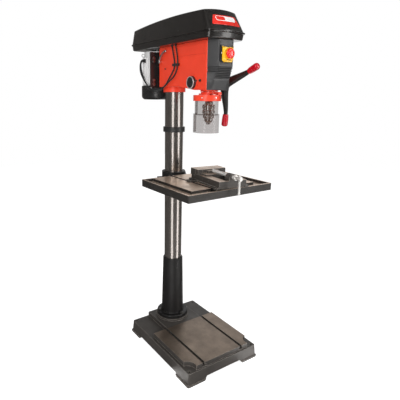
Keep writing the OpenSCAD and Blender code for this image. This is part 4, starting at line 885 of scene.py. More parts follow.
def cover_plan(half, front, rear, front_round, rear_round, steps):
    """Outline of the belt cover at one height: a front face bowed forward, two sizes of corner."""
    lean = math.radians(16)
    bow = 0.010
    face_half = half - front_round + front_round * math.sin(lean)
    face_y = front + front_round - front_round * math.cos(lean)
    points = [(x, face_y - bow * (1 - (x / face_half) ** 2)) for x in
              (face_half * (i / steps - 1) for i in range(1, 2 * steps))]

    def corner(cx, cy, radius, start, end):
        return [(cx + radius * math.cos(a), cy + radius * math.sin(a))
                for a in (math.radians(start + (end - start) * i / steps) for i in range(steps + 1))]

    points += corner(half - front_round, front + front_round, front_round, -74, 0)
    points += corner(half - rear_round, rear - rear_round, rear_round, 0, 90)
    points += corner(rear_round - half, rear - rear_round, rear_round, 90, 180)
    points += corner(front_round - half, front + front_round, front_round, 180, 254)
    return points


def lid_height(x, y):
    """Height of the lid's crown over a point, less its edge rounding."""
    return 1.6038 - (y - 0.050) ** 2 / 7.640 + 0.005 * (1 - (x / LID_HALF) ** 2)


def crown_front(x):
    """Where the crown's bowed front edge stands at x."""
    return 1.9 * x * x - 0.1585


def crown_edge(steps):
    """Points along the two sides, the front and the rear of the lid's crown."""
    side_front, corner_y, corner_round = 0.068, -0.135, LID_HALF - 0.068
    edge = []
    for side in (-1, 1):
        for i in range(steps + 1):
            a = math.radians(-74 + 74 * i / steps)
            edge.append((side * (side_front + corner_round * math.cos(a)),
                         corner_y + corner_round * math.sin(a)))
        edge += [(side * LID_HALF, -0.04 + 0.0458 * i) for i in range(11)]
    front_half = 0.072
    for i in range(2 * steps + 1):
        x = front_half * (i / steps - 1)
        edge += [(x, crown_front(x)), (x * LID_HALF / front_half, LID_REAR)]
    return edge


def lid_skin(d, foot_z, steps):
    """One side of the lid's sheet, drawn in by d and open below."""
    def shrunk(x, y):
        return x * (1 - d / LID_HALF), min(y + (d if y < -0.100 else 0), LID_REAR - d)

    foot = cover_plan(0.098 - d, -0.205 + d, 0.431 - d, 0.030 - d, 0.010 - d * 0.5, steps)
    cloud = [(x, y, foot_z) for x, y in foot]
    for x, y in crown_edge(steps):
        cx, cy = shrunk(x, y)
        cz = lid_height(x, y) - d
        for a in around(20):
            for b in (math.radians(15 * m + 7) for m in range(-1, 6)):
                reach, rise = LID_ROUND * math.cos(b), LID_ROUND * math.sin(b)
                cloud.append((cx + reach * math.cos(a), cy + reach * math.sin(a), cz + rise))
    for i in range(25):
        for k in range(-6, 7):
            x, y = LID_HALF * k / 6, -0.15 + 0.568 * i / 24
            if y > -0.135 or abs(k) < 5:
                cx, cy = shrunk(x, max(y, crown_front(x)))
                cloud.append((cx, cy, lid_height(x, y) - d + LID_ROUND))
    verts, faces = hull(cloud, 0.25)
    return verts, [f for f in faces if any(verts[i][2] > foot_z + 1e-5 for i in f)]


def cover_knuckle(x):
    """One rolled knuckle of the cover's hinge."""
    bore = mm((2.1, 0), (3.6, 0), (3.99, 0.4), (3.99, 19.6), (3.6, 20), (2.1, 20))
    return placed(ring_of(bore, 32), (1, 0, 0), (x - 0.010, *COVER_HINGE))


class DRILL_OT_lid(bpy.types.Operator):
    """Press the belt lid with its rolled rim, hinge knuckles, rivets and bare front plate"""
    bl_idname = "drill.lid"
    bl_label = "Belt lid"

    def execute(self, context):
        steps, sheet = sizes().corner_steps, sizes().sheet
        outside = lid_skin(0.0, SPLIT_Z + 0.0029, steps)
        inside = lid_skin(sheet, SPLIT_Z + 0.0006, steps)
        verts, faces = join(outside, (inside[0], [f[::-1] for f in inside[1]]))
        mesh = bpy.data.meshes.new("lid_shell")
        mesh.from_pydata(verts, [], faces)
        shell = finish_piece("lid_shell", mesh, "cover_black", "lid", angle=24)
        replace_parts(shell, "belt_lid")

        rim = []
        low = SPLIT_Z + 0.0004
        for out, z in ((-0.0055, 0.0), (0.0042, 0.0), (0.0050, 0.0007), (0.0050, 0.0021), (0.0042, 0.0028),
                       (0.0010, 0.0030), (-0.0002, 0.0046), (-0.0030, 0.0046)):
            plan = cover_plan(0.098 + out, -0.205 - out, 0.4325 + min(out, 0) * 1.2, 0.030 + out * 0.6,
                              0.011, steps)
            rim.append([(x, y, low + z) for x, y in plan])
        piece = smooth_piece("lid_rim", *loft(rim, True), "cover_black", "lid", angle=40)
        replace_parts(piece, "belt_lid")

        parts = []
        for x in (-0.039, 0.039):
            parts.append(cover_knuckle(x))
            parts.append(block((x - 0.0098, 0.4300, 1.5212), (x + 0.0098, 0.4385, 1.5236), 0.0006))
        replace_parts(smooth_piece("lid_hinge_leaves", *join(*parts), "cover_black", "lid"), "belt_lid")

        rivets = []
        dome = mm((3.4, -1), (3.4, 0.2), (3, 1), (2, 1.6), (0.6, 1.8))
        for y in (0.2928, 0.010):
            for side in (-1, 1):
                rivets.append(placed(lathe(dome, 24), (side * 0.993, 0, 0.12), (side * 0.0958, y, 1.5419)))
        smooth_piece("lid_rivets", *join(*rivets), "cover_black", "lid", "black_fittings")

        shares = [i / 6 for i in range(7)]
        handle = [Vector((0.060 * s - 0.030, -0.2167 + 0.0012 * abs(s - 0.5), 1.5262)) for s in shares]
        smooth_piece("lid_lift_edge", *swept(handle, 0.0012, 10), "cover_black", "lid")
        self.plate(shell)
        return {"FINISHED"}

    @staticmethod
    def plate(shell):
        """The bare two-colour plate on the lid's sloping front."""
        mesh = shell.data
        tree = BVHTree.FromPolygons([v.co for v in mesh.vertices], [tuple(p.vertices) for p in mesh.polygons])

        def on_front(x, z, lift):
            point = tree.ray_cast(Vector((x, -0.5, z)), Vector((0, 1, 0)))[0]
            return point + Vector((0, -0.85, 0.52)) * lift

        def sheet(name, finish, corners, radius, lift):
            edge = rounded_outline(corners, radius)
            cx, cz = (sum(p[axis] for p in edge) / len(edge) for axis in (0, 1))
            loops = []
            for share, height in ((0.0, lift), (0.5, lift), (0.9, lift), (0.985, lift), (1.0, lift - 0.0002),
                                  (1.0, -0.0006)):
                inset = [(cx + (x - cx) * share, cz + (z - cz) * share) for x, z in edge]
                loops.append([on_front(x, z, height) for x, z in inset])
            smooth_piece(name, *loft(loops), "cover_black", "lid", finish, angle=50)

        sheet("front_plate", "badge_red",
              mm((-73.5, 1545.5), (73.5, 1545.5), (56, 1584), (-56, 1584)), 0.0035, 0.0005)
        sheet("front_plate_field", "badge_pale",
              mm((-50, 1561), (50, 1561), (50, 1580.5), (-50, 1580.5)), 0.0092, 0.0009)
        sheet("front_plate_spot", "badge_red",
              mm((-47.8, 1563), (-6, 1563), (-6, 1578.5), (-47.8, 1578.5)), 0.0070, 0.0012)


def feed_directions():
    """The way each feed arm points."""
    return [Vector((0, math.cos(a), math.sin(a))) for a in map(math.radians, FEED_ARMS)]


class DRILL_OT_feed(bpy.types.Operator):
    """Cast the feed hub with three tapered arms, and ink the depth dial"""
    bl_idname = "drill.feed"
    bl_label = "Feed hub"

    def execute(self, context):
        root, tip = sizes().arm_root, sizes().arm_tip
        profile = mm((19, 76.2), (19, 98.5), (20, 103), (22.6, 106.2), (23.2, 108.5), (23.2, 130),
                     (22.2, 132.8), (18, 134.2), (17.2, 135.2), (16.8, 137.2), (15, 138))
        parts = [placed(lathe(profile, 64), (1, 0, 0), (0, FEED_Y, FEED_Z))]
        for out in feed_directions():
            route, radii = [], []
            for i in range(23):
                t = i / 22
                reach = 0.006 + (0.139 - 0.006) * t
                ease = t * t * (3 - 2 * t)
                x = 0.1195 + 0.0275 * (0.35 * t + 0.65 * ease)
                route.append(Vector((x, FEED_Y, FEED_Z)) + out * reach)
                radii.append(root + (tip - root) * (t ** 0.9))
            route += [Vector((FEED_GRIP_X, FEED_Y, FEED_Z)) + out * reach for reach in (0.1366, 0.160)]
            radii += [0.0064, 0.0064]
            parts.append(swept(route, radii, 28, 0.78, up=(1, 0, 0)))
        hub = smooth_piece("feed_hub_cast", *join(*parts), "feed_black", "feed", angle=38)
        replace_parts(hub, "feed_hub")

        marks = []
        for i in range(72):
            a = math.radians(5 * i)
            long = 0.0050 if i % 6 == 0 else (0.0038 if i % 3 == 0 else 0.0026)
            mark = block((-0.00025, -0.0004, 0.0), (0.00025, 0.0001, long), 0.00008, 1)
            spin = Matrix.Rotation(a, 3, "X")
            marks.append(([Vector((0.0705, FEED_Y, FEED_Z)) + spin @ Vector((v[2], v[0], 0.02902 + v[1]))
                           for v in mark[0]], mark[1]))
        smooth_piece("dial_marks", *join(*marks), "dial_alloy", "feed", "dial_ink")
        return {"FINISHED"}


class DRILL_OT_panel(bpy.types.Operator):
    """Mould the head's front panel with its sloping nose and grip ribs"""
    bl_idname = "drill.panel"
    bl_label = "Front panel"

    foot, top, depth = 1.2960, 1.4930, 0.0030
    knees = mm((1296, 35, -156), (1343, 41, -175), (1388, 38, -195), (1494, 38, -195))
    ribs = [1.3830 - 0.0400 * i / 6 for i in range(7)]

    def outline(self, z, front=0.0, side=0.0):
        """The panel's outline at one height, moved outwards by two amounts."""
        for (z0, w0, y0), (z1, w1, y1) in zip(self.knees, self.knees[1:]):
            if z <= z1:
                share = max(0.0, (z - z0) / (z1 - z0))
                break
        w, y = w0 + (w1 - w0) * share, y0 + (y1 - y0) * share
        root = Vector((HEAD_HALF, HEAD_FRONT))
        along = (Vector((w, y)) - root).normalized()
        out = Vector((-along.y, along.x)) * side
        knee = root + out + along * ((y - front - root.y - out.y) / along.y)
        inner = root + Vector((min(side, 0), 0)) + along * 0.001
        flank = [inner, root + along * 0.006 + Vector((min(side, 0), 0)), root + out + along * 0.008]
        reach = knee - flank[-1]
        flank += [flank[-1] + reach * f for f in (0.3, 0.6)]
        before, after = knee - along * 0.0045, Vector((knee.x - 0.0045, knee.y))
        bend = [before * (1 - f) ** 2 + knee * 2 * f * (1 - f) + after * f ** 2
                for f in (0, 0.2, 0.4, 0.6, 0.8, 1)]
        half = flank + bend + [Vector((after.x * f, knee.y)) for f in (0.66, 0.33)]
        return half + [Vector((0, knee.y))] + [Vector((-v.x, v.y)) for v in reversed(half)]

    def execute(self, context):
        rows = [(self.foot, -0.0012, -0.0012), (self.foot + 0.0004, -0.0004, -0.0004),
                (self.foot + 0.0012, 0, 0)]
        rows += [(self.foot + 0.004 + 0.004 * i, 0, 0) for i in range(10)]
        for i, z in enumerate(reversed(self.ribs)):
            low, side = (-0.0026, 0.0008) if i > 3 else (0.0, 0.0)
            rows += [(z - 0.0008, -0.0034, low), (z + 0.0002, 0.0010, side), (z + 0.0006, 0.0014, side),
                     (z + 0.0028, 0.0014, side), (z + 0.0032, 0.0010, side), (z + 0.0042, -0.0034, low)]
        above = [1.3888, 1.3896] + [1.394 + 0.011 * i for i in range(9)] + [self.top]
        rows += [(z, 0, 0) for z in above]
        verts = []
        for z, front, side in rows:
            for point in self.outline(z, front, side) + self.outline(z, -2 * self.depth, -2 * self.depth):
                verts.append((point.x, point.y, z))
        count = len(verts) // len(rows) // 2

        def at(row, k, inner):
            return (2 * row + inner) * count + k

        faces = []
        for i in range(len(rows) - 1):
            for k in range(count - 1):
                for s in (0, 1):
                    faces.append((at(i, k, s), at(i, k + 1, s), at(i + 1, k + 1, s), at(i + 1, k, s)))
            faces += [(at(i, k, 0), at(i + 1, k, 0), at(i + 1, k, 1), at(i, k, 1)) for k in (0, count - 1)]
        for i in (0, len(rows) - 1):
            faces += [(at(i, k, 0), at(i, k + 1, 0), at(i, k + 1, 1), at(i, k, 1)) for k in range(count - 1)]
        floor = [[(v.x, v.y, z) for v in self.outline(self.foot + 0.0015, -0.0012, -0.0012)]
                 for z in (self.foot + 0.0002, self.foot + 0.0030)]
        piece = smooth_piece("front_panel_floor", *capped_loft(floor), "panel_grey", "stand")
        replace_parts(piece, "front_panel")
        window = block((-0.024, -0.210, 1.412), (0.024, -0.180, 1.468))
        mesh = carved("front_panel_moulded", (verts, faces), [window])
        # The second finish, the near-black switch plate, goes on the faces sunk between the ribs across the
        # front: painted shade in the grooves.
        panel = finish_piece("front_panel_moulded", mesh, "panel_grey", "stand", angle=30,
                             also=("switch_black",))
        for polygon in panel.data.polygons:
            middle = polygon.center
            face = self.outline(middle.z)
            depth = middle.y - min(v.y for v in face)
            if self.ribs[-1] - 0.001 < middle.z < self.ribs[0] + 0.0045 and 0.0012 < depth < 0.0045:
                polygon.material_index = int(abs(middle.x) < 0.036)
        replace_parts(panel, "front_panel")
        return {"FINISHED"}


class DRILL_OT_lever(bpy.types.Operator):
    """Bend the chromed belt tension lever"""
    bl_idname = "drill.lever"
    bl_label = "Tension lever"

    def execute(self, context):
        boss = mm((0, 0), (7.5, 0), (8.6, 0.6), (9, 1.6), (9, 12), (8.2, 13), (5, 13.4), (0, 13.5))
        parts = [placed(lathe(boss, 40), (-1, 0, 0), (-0.0625, 0.205, 1.430))]
        route = smooth_route(mm((-72, 206, 1429), (-74, 199, 1437.5), (-75, 186, 1452),
                                (-75.6, 173, 1461.8), (-76, 160, 1469), (-76, 149, 1472),
                                (-76, 140, 1472.2)), 8)
        last = len(route) - 1
        radii = [0.0050 - 0.0008 * math.sin(math.pi * i / last) for i in range(last + 1)]
        radii[-1] *= 0.45
        radii[-2] *= 0.80
        radii[-3] *= 0.95
        parts.append(swept(route, radii, 24))
        knob = mm((0, -4.8), (3, -4), (4.6, -1.6), (5, 0.8), (4.2, 3.2), (2.2, 4.6), (0, 5))
        parts.append(placed(lathe(knob, 24), (0, -1, 0.1), (-0.0760, 0.1420, 1.4722)))
        lever = smooth_piece("tension_lever_bent", *join(*parts), "lever_chrome", "tension_lever", angle=40)
        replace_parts(lever, "tension_lever")
        return {"FINISHED"}


class DRILL_OT_switch(bpy.types.Operator):
    """Mould the yellow switch flap and its small fixings"""
    bl_idname = "drill.switch"
    bl_label = "Switch"

    def execute(self, context):
        def rings(*rows):
            """Round-cornered loops; a row is width, height, corner, middle z and y in millimetres."""
            loops = []
            for w, h, corner, z, y in mm(*rows):
                corners = [(-w / 2, z - h / 2), (w / 2, z - h / 2), (w / 2, z + h / 2), (-w / 2, z + h / 2)]
                loops.append([(px, y, pz) for px, pz in rounded_outline(corners, corner)])
            return loops

        flap = rings((45, 50, 6, 1436, -202.4), (54, 55, 7, 1436.5, -202), (56, 57, 7.5, 1436.5, -203),
                     (54.5, 55.5, 8.5, 1436.5, -206), (51.5, 52.5, 10.5, 1436.5, -209.5),
                     (49.5, 50.5, 11.2, 1436.5, -211.2), (46, 47, 10.5, 1436.5, -211.9),
                     (41, 42, 9, 1436.5, -212), (40, 41, 8.8, 1436.5, -211.3), (15, 15, 7, 1438, -211.3),
                     (13.4, 13.4, 6.6, 1438, -210.9), (13.4, 13.4, 6.6, 1438, -208.9),
                     (30, 30, 10, 1436, -208.6), (45, 50, 6, 1436, -208.2))
        notch = rod(0.0080, (0, -0.230, 1.4672), (0, -0.196, 1.4672), 40)
        hasp = block((-0.0135, -0.2300, 1.4118), (0.0135, -0.2075, 1.4152), 0.0010)
        mesh = carved("switch_flap_moulded", loft(flap, True), [notch, hasp])
        piece = finish_piece("switch_flap_moulded", mesh, "flap_yellow", "switch_flap", angle=36)
        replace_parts(piece, "switch_flap")
        lip = rings((40, 6, 2.5, 1408, -202.2), (39, 6, 2.5, 1408.2, -206), (36, 6, 2.5, 1408.7, -211),
                    (33.5, 5.8, 2.5, 1409, -214.5), (30, 4, 1.8, 1409, -215.8), (25, 1.2, 0.5, 1409, -216))
        parts = [capped_loft(lip)]
        knuckle = mm((1.27, 0), (3, 0), (3.4, 0.4), (3.4, 1.4), (3, 1.8), (1.27, 1.8))
        for side in (-1, 1):
            parts.append(placed(ring_of(knuckle, 24), (side, 0, 0), (side * 0.0262, -0.204, FLAP_HINGE_Z)))
        piece = smooth_piece("switch_flap_lip", *join(*parts), "flap_yellow", "switch_flap", angle=36)
        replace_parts(piece, "switch_flap")

        screws = []
        for x in (-0.0285, 0.0285):
            screws.append(placed(cross_screw(0.0030, 0.0011), (0, -1, 0), (x, -0.2002, 1.440)))
        smooth_piece("switch_screws", *join(*screws), "switch_black", "stand", "zinc_bolts")
        return {"FINISHED"}


class DRILL_OT_fixings(bpy.types.Operator):
    """Set the small screws that show on the column's foot and on the front panel"""
    bl_idname = "drill.fixings"
    bl_label = "Fixings"

    def execute(self, context):
        spots = []
        for z in (0.4045, 0.3805):
            spots.append(placed(socket_screw(0.0030, 0.0016), (-0.146, -0.989, 0.02), (-0.0077, 0.1272, z)))
        smooth_piece("foot_grub_screws", *join(*spots), "painted_iron", "stand", "steel_bolts")

        panel = []
        for x, z in ((-0.0305, 1.4825), (0.0305, 1.4825), (-0.030, 1.4030), (0.030, 1.4030)):
            panel.append(placed(cross_screw(0.0028, 0.0013), (0, -1, 0), (x, -0.1949, z)))
        smooth_piece("panel_screws", *join(*panel), "panel_grey", "stand", "black_fittings")
        return {"FINISHED"}


class DRILL_OT_tray(bpy.types.Operator):
    """Press the belt tray with its drawn corners, rolled lip and floor openings"""
    bl_idname = "drill.tray"
    bl_label = "Belt tray"

    def execute(self, context):
        steps = sizes().corner_steps

        def plan(half, front, rear, front_round, rear_round, z):
            outline = cover_plan(half, front, rear, front_round, rear_round, steps)
            return [(x, y, z) for x, y in outline]

        outside = []
        for t in range(7):
            a = math.radians(90 * t / 6)
            s, c = math.sin(a), 1 - math.cos(a)
            outside.append(plan(0.0915 + 0.0058 * s, -0.1945 - 0.0066 * s, 0.4235 + 0.0048 * s,
                                0.026 + 0.004 * s, 0.010 + 0.002 * s, 1.4941 + 0.0066 * c))
        for half, front, rear, front_corner, below in (
                (0.0984, -0.2040, 0.4300, 0.0300, 0.0045), (0.0996, -0.2056, 0.4316, 0.0310, 0.0040),
                (0.1022, -0.2090, 0.4328, 0.0325, 0.0030), (0.1030, -0.2099, 0.4330, 0.0330, 0.0018),
                (0.1028, -0.2097, 0.4329, 0.0330, 0.0006), (0.1018, -0.2086, 0.4324, 0.0325, 0.0004)):
            outside.append(plan(half, front, rear, front_corner, 0.012, SPLIT_Z - below))
        inside = [plan(0.0905, -0.1935, 0.4225, 0.024, 0.009, 1.4970),
                  plan(0.0930, -0.1965, 0.4245, 0.0255, 0.0095, 1.4990),
                  plan(0.0960, -0.2014, 0.4274, 0.028, 0.010, SPLIT_Z + 0.002)]
        cutters = [capped_loft(inside),
                   rod(0.024, (0, SPINDLE_Y, 1.490), (0, SPINDLE_Y, 1.500), 64),
                   rod(0.034, (0, MOTOR_Y, 1.490), (0, MOTOR_Y, 1.500), 64)]
        exits = [(lead[0][0], lead[0][1] - 0.0012) for lead in (MOTOR_LEAD, SWITCH_LEAD)]
        cutters += [rod(0.0048, (x, y, 1.490), (x, y, 1.500), 28) for x, y in exits]
        mesh = carved("tray_shell", capped_loft(outside), cutters)
        tray = finish_piece("tray_shell", mesh, "cover_black", "stand", angle=30)
        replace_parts(tray, "belt_tray")

        parts = []
        for x in (-0.060, 0.060):
            parts.append(cover_knuckle(x))
            parts.append(block((x - 0.0098, 0.4295, 1.5152), (x + 0.0098, 0.4370, 1.5198), 0.0006))
        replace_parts(smooth_piece("tray_hinge_leaves", *join(*parts), "cover_black", "stand"), "belt_tray")

        collar = mm((3.6, -2.2), (6.2, -2.2), (6.8, -1.4), (6.8, -0.3), (4.6, -0.2), (4.6, 2.8), (3.6, 2.8))
        grommets = [placed(ring_of(collar, 28), (0, 0, 1), (x, y, 1.494)) for x, y in exits]
        smooth_piece("tray_grommets", *join(*grommets), "lead_rubber", "stand")
        return {"FINISHED"}


class DRILL_OT_turned(bpy.types.Operator):
    """Turn the round covers, grips and knobs: fan cover, spring cap, feed grips, stop knob, crank grip"""
    bl_idname = "drill.turned"
    bl_label = "Turned pieces"

    def execute(self, context):
        self.fan_cover()
        self.grips()
        self.knobs()
        self.spring_cap()
        return {"FINISHED"}

    @staticmethod
    def arc(cx, cz, radius, start, end, steps=14):
        """Points of a profile along an arc given in degrees."""
        angles = [math.radians(start + (end - start) * i / steps) for i in range(steps + 1)]
        return [(cx + radius * math.cos(a), cz + radius * math.sin(a)) for a in angles]

    def fan_cover(self):
        outer = [(0.0004, 1.2530)] + self.arc(0.065, 1.271, 0.018, -90, 0)
        outer += mm((83, 1316.5), (82.6, 1319), (81.2, 1320.8), (79.5, 1321.4), (0.4, 1321.4))
        inner = [(0.0002, 1.2556)] + self.arc(0.064, 1.272, 0.0164, -90, 0)
        inner += mm((80.4, 1317), (78, 1319), (0.2, 1319))
        mouth = lathe([(0.020, 1.300), (0.020, 1.340)], 48)
        hole = lathe([(0.0034, 1.250), (0.0034, 1.260)], 18)
        holes = []
        for ring, count in ((0.018, 6), (0.029, 6), (0.040, 12), (0.051, 18)):
            start = math.pi / count if count > 6 else 0
            holes += [placed(hole, at=(ring * math.cos(a + start), ring * math.sin(a + start), 0))
                      for a in around(count)]
        mesh = carved("fan_cover_drawn", lathe(outer, 96), [lathe(inner, 96), mouth, join(*holes)])
        mesh.transform(Matrix.Translation((0, MOTOR_Y, 0)))
        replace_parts(finish_piece("fan_cover_drawn", mesh, "motor_black", "motor", angle=34), "fan_cover")

        screws = []
        for degrees in (215, 335, 455):
            out = outward(degrees)
            screws.append(placed(cross_screw(0.0036, 0.0014), out,
                                 (0.0829 * out[0], MOTOR_Y + 0.0829 * out[1], 1.3120)))
        smooth_piece("fan_cover_screws", *join(*screws), "motor_black", "motor", "zinc_bolts")

    def grips(self):
        profile = mm((6.6, 135.4), (11.2, 135.1), (12.4, 135.4), (12.9, 136.6), (13.6, 141), (14.4, 148),
                     (14.9, 156), (15.2, 164), (15.2, 176))
        profile += self.arc(0.0042, 0.1819, 0.0110, 8, 88, 12) + mm((0.6, 192.9), (0.4, 169), (6.6, 168))
        parts = []
        for out in feed_directions():
            parts.append(placed(ring_of(profile, 40), out, (FEED_GRIP_X, FEED_Y, FEED_Z)))
        grips = smooth_piece("grips_dipped", *join(*parts), "grip_red", "feed", angle=50)
        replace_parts(grips, "feed_grips")

    def knobs(self):
        profile = mm((5.8, 206.3), (6.2, 206.7), (6.2, 215.8), (7, 216.6), (18.8, 217.4), (19.8, 218),
                     (20.3, 219), (20.4, 220.2), (20.1, 222), (19.4, 223.8), (18, 225.6), (16, 227),
                     (13.6, 228), (12.6, 228), (11.6, 226.8), (10.6, 226.2), (5, 226))
        knob = placed(lathe(profile, 64), (0, -1, 0), (0, 0, KNOB_Z))
        piece = smooth_piece("stop_knob_moulded", *knob, "stop_red", "stop_knob", angle=44)
        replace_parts(piece, "stop_knob")
        reach, crank_z = 0.0872, 0.904
        grip = mm((5.2, 113), (8.6, 113), (9.2, 113.8), (10.2, 117), (11.2, 122), (12, 130), (12.5, 140),
                  (12.7, 152), (12.5, 162), (11.8, 169), (10.6, 173.5), (8.8, 176), (5.2, 176.5))
        at = (-CRANK_AXIS[1] * reach, COLUMN_Y + CRANK_AXIS[0] * reach, crank_z)
        piece = smooth_piece("crank_grip_turned", *placed(ring_of(grip, 40), CRANK_AXIS, at), "grip_black",
                             "crank_grip", angle=40)
        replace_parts(piece, "crank_grip")

    def spring_cap(self):
        z = FEED_Z + 0.004
        rim = mm((22.8, 0), (24, -0.1), (25.2, 0.3), (25.8, 1.2), (25.8, 3), (25, 3.4), (22.8, 1))
        ring = placed(ring_of(rim, 72), (1, 0, 0), (-0.0784, FEED_Y, z))
        smooth_piece("spring_cap_rim", *ring, "black_fittings", "stand", "zinc_bolts")
        face = []
        for k in range(4):
            a = math.radians(45 + 90 * k)
            face.append(placed(socket_screw(0.0030, 0.0014), (-1, 0, 0),
                               (-0.0768, FEED_Y + 0.0165 * math.cos(a), z + 0.0165 * math.sin(a))))
        nut = mm((6.2, 0), (7, 0.6), (7, 1.8), (6, 2.4))
        face.append(placed(lathe(nut, 6), (-1, 0, 0), (-0.0768, FEED_Y, z)))
        smooth_piece("spring_cap_fixings", *join(*face), "black_fittings", "stand", angle=25)


class DRILL_OT_motor(bpy.types.Operator):
    """Fit the motor's bolts with washers, and the black gland with its nut"""
    bl_idname = "drill.motor"
    bl_label = "Motor fittings"

    def execute(self, context):
        bolts = []
        for x in (-0.076, 0.076):
            for z, size in ((1.327, 0.0068), (1.447, 0.0068), (1.345, 0.0054), (1.433, 0.0054)):
                at = (x, PLATE_Y, z)
                washer = [(size + 0.0026, 0.0), (size + 0.0028, 0.0004), (size + 0.0026, 0.0012),
                          (0.0002, 0.0013)]
                bolts.append(placed(lathe(washer, 36), (0, -1, 0), at))
                head = [(size, 0.0012), (size, 0.0042), (size * 0.93, 0.0049), (size * 0.50, 0.0050),
                        (0.0003, 0.0050)]
                bolts.append(placed(lathe(head, 6), (0, -1, 0), at))
        piece = smooth_piece("motor_bolts", *join(*bolts), "zinc_bolts", "motor", "rack_steel", angle=24)
        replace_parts(piece, "motor_fittings")

        nut = mm((7.6, -1), (7.6, 6.2), (8.2, 6.4), (9.6, 7.2), (9.8, 11), (9, 12.4), (7.4, 12.6),
                 (7.2, 15), (6.6, 17), (6, 17.6), (0.4, 17.8))

        def grooved(r, z, a):
            return r - 0.0005 if r > 0.0075 and z > 0.007 and math.cos(12 * a) > 0 else r

        gland = placed(lathe(nut, 60, grooved), (-1, 0, 0), (-0.0665, 0.336, 1.4415))
        piece = smooth_piece("motor_gland", *gland, "zinc_bolts", "motor", "motor_black", angle=40)
        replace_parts(piece, "motor_fittings")
        return {"FINISHED"}


class DRILL_OT_chuck(bpy.types.Operator):
    """Turn the chuck's grooved sleeve with its knurled bands"""
    bl_idname = "drill.chuck"
    bl_label = "Chuck"

    def execute(self, context):
        profile = mm((20.6, 1180), (23.2, 1179), (24.4, 1180.6), (24.4, 1193.2), (23.8, 1194),
                     (23.8, 1196.6), (26.2, 1197.8), (27.4, 1199), (27.4, 1210.6), (26.2, 1212),
                     (24.8, 1212.4), (24.8, 1215), (26.2, 1215.6), (27.2, 1216.4), (26.6, 1218.4),
                     (20.6, 1218.6))

        def knurl(r, z, a):
            banded = 1.1994 < z < 1.2102 or 1.1812 < z < 1.1926
            return r - (0.0003 * (math.sin(48 * a) > 0) if banded and r > 0.024 else 0)

        rows = []
        for (r0, z0), (r1, z1) in zip(profile, profile[1:] + profile[:1]):
            cuts = 4 if z1 - z0 > 0.010 else 1
            rows += [(r0 + (r1 - r0) * k / cuts, z0 + (z1 - z0) * k / cuts) for k in range(cuts)]
        sleeve = placed(ring_of(rows, 192, knurl), at=(0, SPINDLE_Y, 0))
        piece = smooth_piece("chuck_sleeve_turned", *sleeve, "chuck_steel", "chuck_sleeve", angle=30)
        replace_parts(piece, "chuck_sleeve")
        return {"FINISHED"}


class DRILL_OT_guard(bpy.types.Operator):
    """Fit the guard ring's spring, with its coil at the hinge, and its screws"""
    bl_idname = "drill.guard"
    bl_label = "Guard fittings"

    def execute(self, context):
        cx, cy = GUARD_AT
        wire = []
        for i in range(13):
            a = math.radians(-118 + 62 * i / 12)
            dip = 0.0022 * math.sin(3.0 * math.pi * i / 12)
            wire.append(Vector((cx + 0.0530 * math.cos(a), cy + 0.0530 * math.sin(a), 1.2785 + dip)))
        parts = [swept(smooth_route(wire, 4), 0.0011, 12)]
        pitch = 0.0026
        for k in range(4):
            coil = [(0.0082 * math.cos(a) + GUARD_HINGE[0], 0.0082 * math.sin(a) + GUARD_HINGE[1],
                     1.2600 + pitch * (k + a / (2 * math.pi))) for a in around(24) + [2 * math.pi]]
            parts.append(swept([Vector(p) for p in coil], 0.0010, 8))
        smooth_piece("guard_spring", *join(*parts), "head_red", "guard", "post_steel", angle=50)

        screws = []
        for degrees, z, size in ((-89, 1.2655, 0.0036), (-150, 1.2640, 0.0030), (150, 1.2640, 0.0030)):
            out = outward(degrees)
            at = (cx + 0.0604 * out[0], cy + 0.0604 * out[1], z)
            screws.append(placed(cross_screw(size, 0.0016), out, at))
        smooth_piece("guard_screws", *join(*screws), "head_red", "guard", "zinc_bolts")
        return {"FINISHED"}


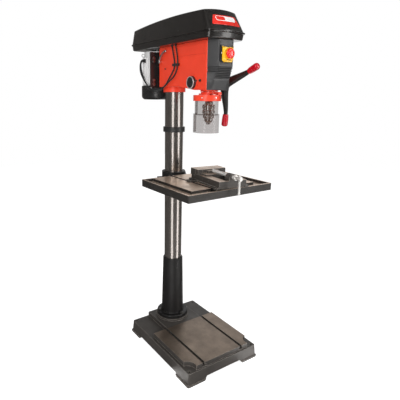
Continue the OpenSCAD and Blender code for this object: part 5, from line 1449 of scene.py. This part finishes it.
class DRILL_OT_vise(bpy.types.Operator):
    """Cut the vise's threaded screw, round its sliding bar and fit its small screws"""
    bl_idname = "drill.vise"
    bl_label = "Vise fittings"

    def execute(self, context):
        profile = mm((8, -159), (9.2, -158.4), (9.6, -157), (9.6, -141), (9, -139.6), (7.8, -139),
                     (7.8, -125), (10.4, -124.6), (11.2, -123.8), (11.2, -112.8), (10.4, -112),
                     (7.2, -111.6))
        for i in range(41):
            y = -0.108 + 0.004 * i
            profile += [(0.0072, y), (0.0079, y + 0.0009), (0.0079, y + 0.0020), (0.0072, y + 0.0029)]
        profile += [(0.0072, 0.0570), (0.0060, 0.0580)]
        shank = [(r, y + 0.159) for r, y in profile]
        screw = placed(lathe(shank, 48), VISE_ALONG, in_vise(0, -0.159, VISE_SCREW_Z))
        piece = smooth_piece("vise_screw_cut", *screw, "screw_steel", "vise_screw", angle=34)
        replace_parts(piece, "vise_screw")

        ends = [(0.0030 + 0.0036 * math.sin(a), 0.0036 * (1 - math.cos(a))) for a in
                (math.radians(15 * i) for i in range(7))]
        bar = ends + mm((6.6, 5.2), (5, 6.6), (5, 73.4), (6.6, 74.8))
        bar += [(r, 0.080 - z) for r, z in reversed(ends)]
        foot_z, stretch = 0.8745, 0.0815 / 0.080
        bar = [(r, foot_z + z * stretch) for r, z in bar]
        spot = in_vise(0, -0.149, 0)
        piece = smooth_piece("vise_bar_rounded", *placed(lathe(bar, 40), (0, 0, 1), spot), "screw_steel",
                             "vise_bar", angle=40)
        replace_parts(piece, "vise_bar")

        screws = []
        forward = tuple(-c for c in VISE_ALONG)
        for x in (-0.052, 0.052):
            screws.append(placed(socket_screw(0.0048, 0.0022), forward, in_vise(x, 0.0662, 0.9405)))
        smooth_piece("moving_jaw_screws", *join(*screws), "vise_iron", "moving_jaw", "steel_bolts")
        screws = []
        for y in (-0.070, -0.020, 0.030):
            out = (-math.cos(VISE_TURN), -math.sin(VISE_TURN), 0)
            screws.append(placed(socket_screw(0.0040, 0.0016), out, in_vise(-0.0689, y, 0.9120)))
        smooth_piece("vise_gib_screws", *join(*screws), "vise_iron", "table", "steel_bolts")
        return {"FINISHED"}


GROUPS = [DrillColours, DrillSizes, DrillStudio]
STEPS = [DRILL_OT_studio, DRILL_OT_finishes, DRILL_OT_leads, DRILL_OT_lid, DRILL_OT_tray, DRILL_OT_turned,
         DRILL_OT_motor, DRILL_OT_chuck, DRILL_OT_guard, DRILL_OT_vise, DRILL_OT_panel, DRILL_OT_feed,
         DRILL_OT_lever, DRILL_OT_switch, DRILL_OT_fixings]


def step_name(step):
    """The part of an operator's name that follows the drill's own prefix."""
    return step.bl_idname.split(".")[-1]


class DRILL_PT_sidebar(bpy.types.Panel):
    bl_label = "Pillar drill"
    bl_idname = "DRILL_PT_sidebar"
    bl_space_type = "VIEW_3D"
    bl_region_type = "UI"
    bl_category = "Drill"

    def draw(self, context):
        layout = self.layout
        for group in (context.scene.drill_colours, context.scene.drill_sizes, context.scene.drill_studio):
            box = layout.box()
            for name in type(group).__annotations__:
                box.prop(group, name)
        for step in STEPS:
            layout.operator("drill." + step_name(step))


def register():
    for cls in GROUPS + STEPS + [DRILL_PT_sidebar]:
        bpy.utils.register_class(cls)
    bpy.types.Scene.drill_colours = PointerProperty(type=DrillColours)
    bpy.types.Scene.drill_sizes = PointerProperty(type=DrillSizes)
    bpy.types.Scene.drill_studio = PointerProperty(type=DrillStudio)


def unregister():
    del bpy.types.Scene.drill_studio
    del bpy.types.Scene.drill_sizes
    del bpy.types.Scene.drill_colours
    for cls in reversed(GROUPS + STEPS + [DRILL_PT_sidebar]):
        bpy.utils.unregister_class(cls)


def main():
    register()
    for step in STEPS:
        getattr(bpy.ops.drill, step_name(step))()


if __name__ == "__main__":
    main()
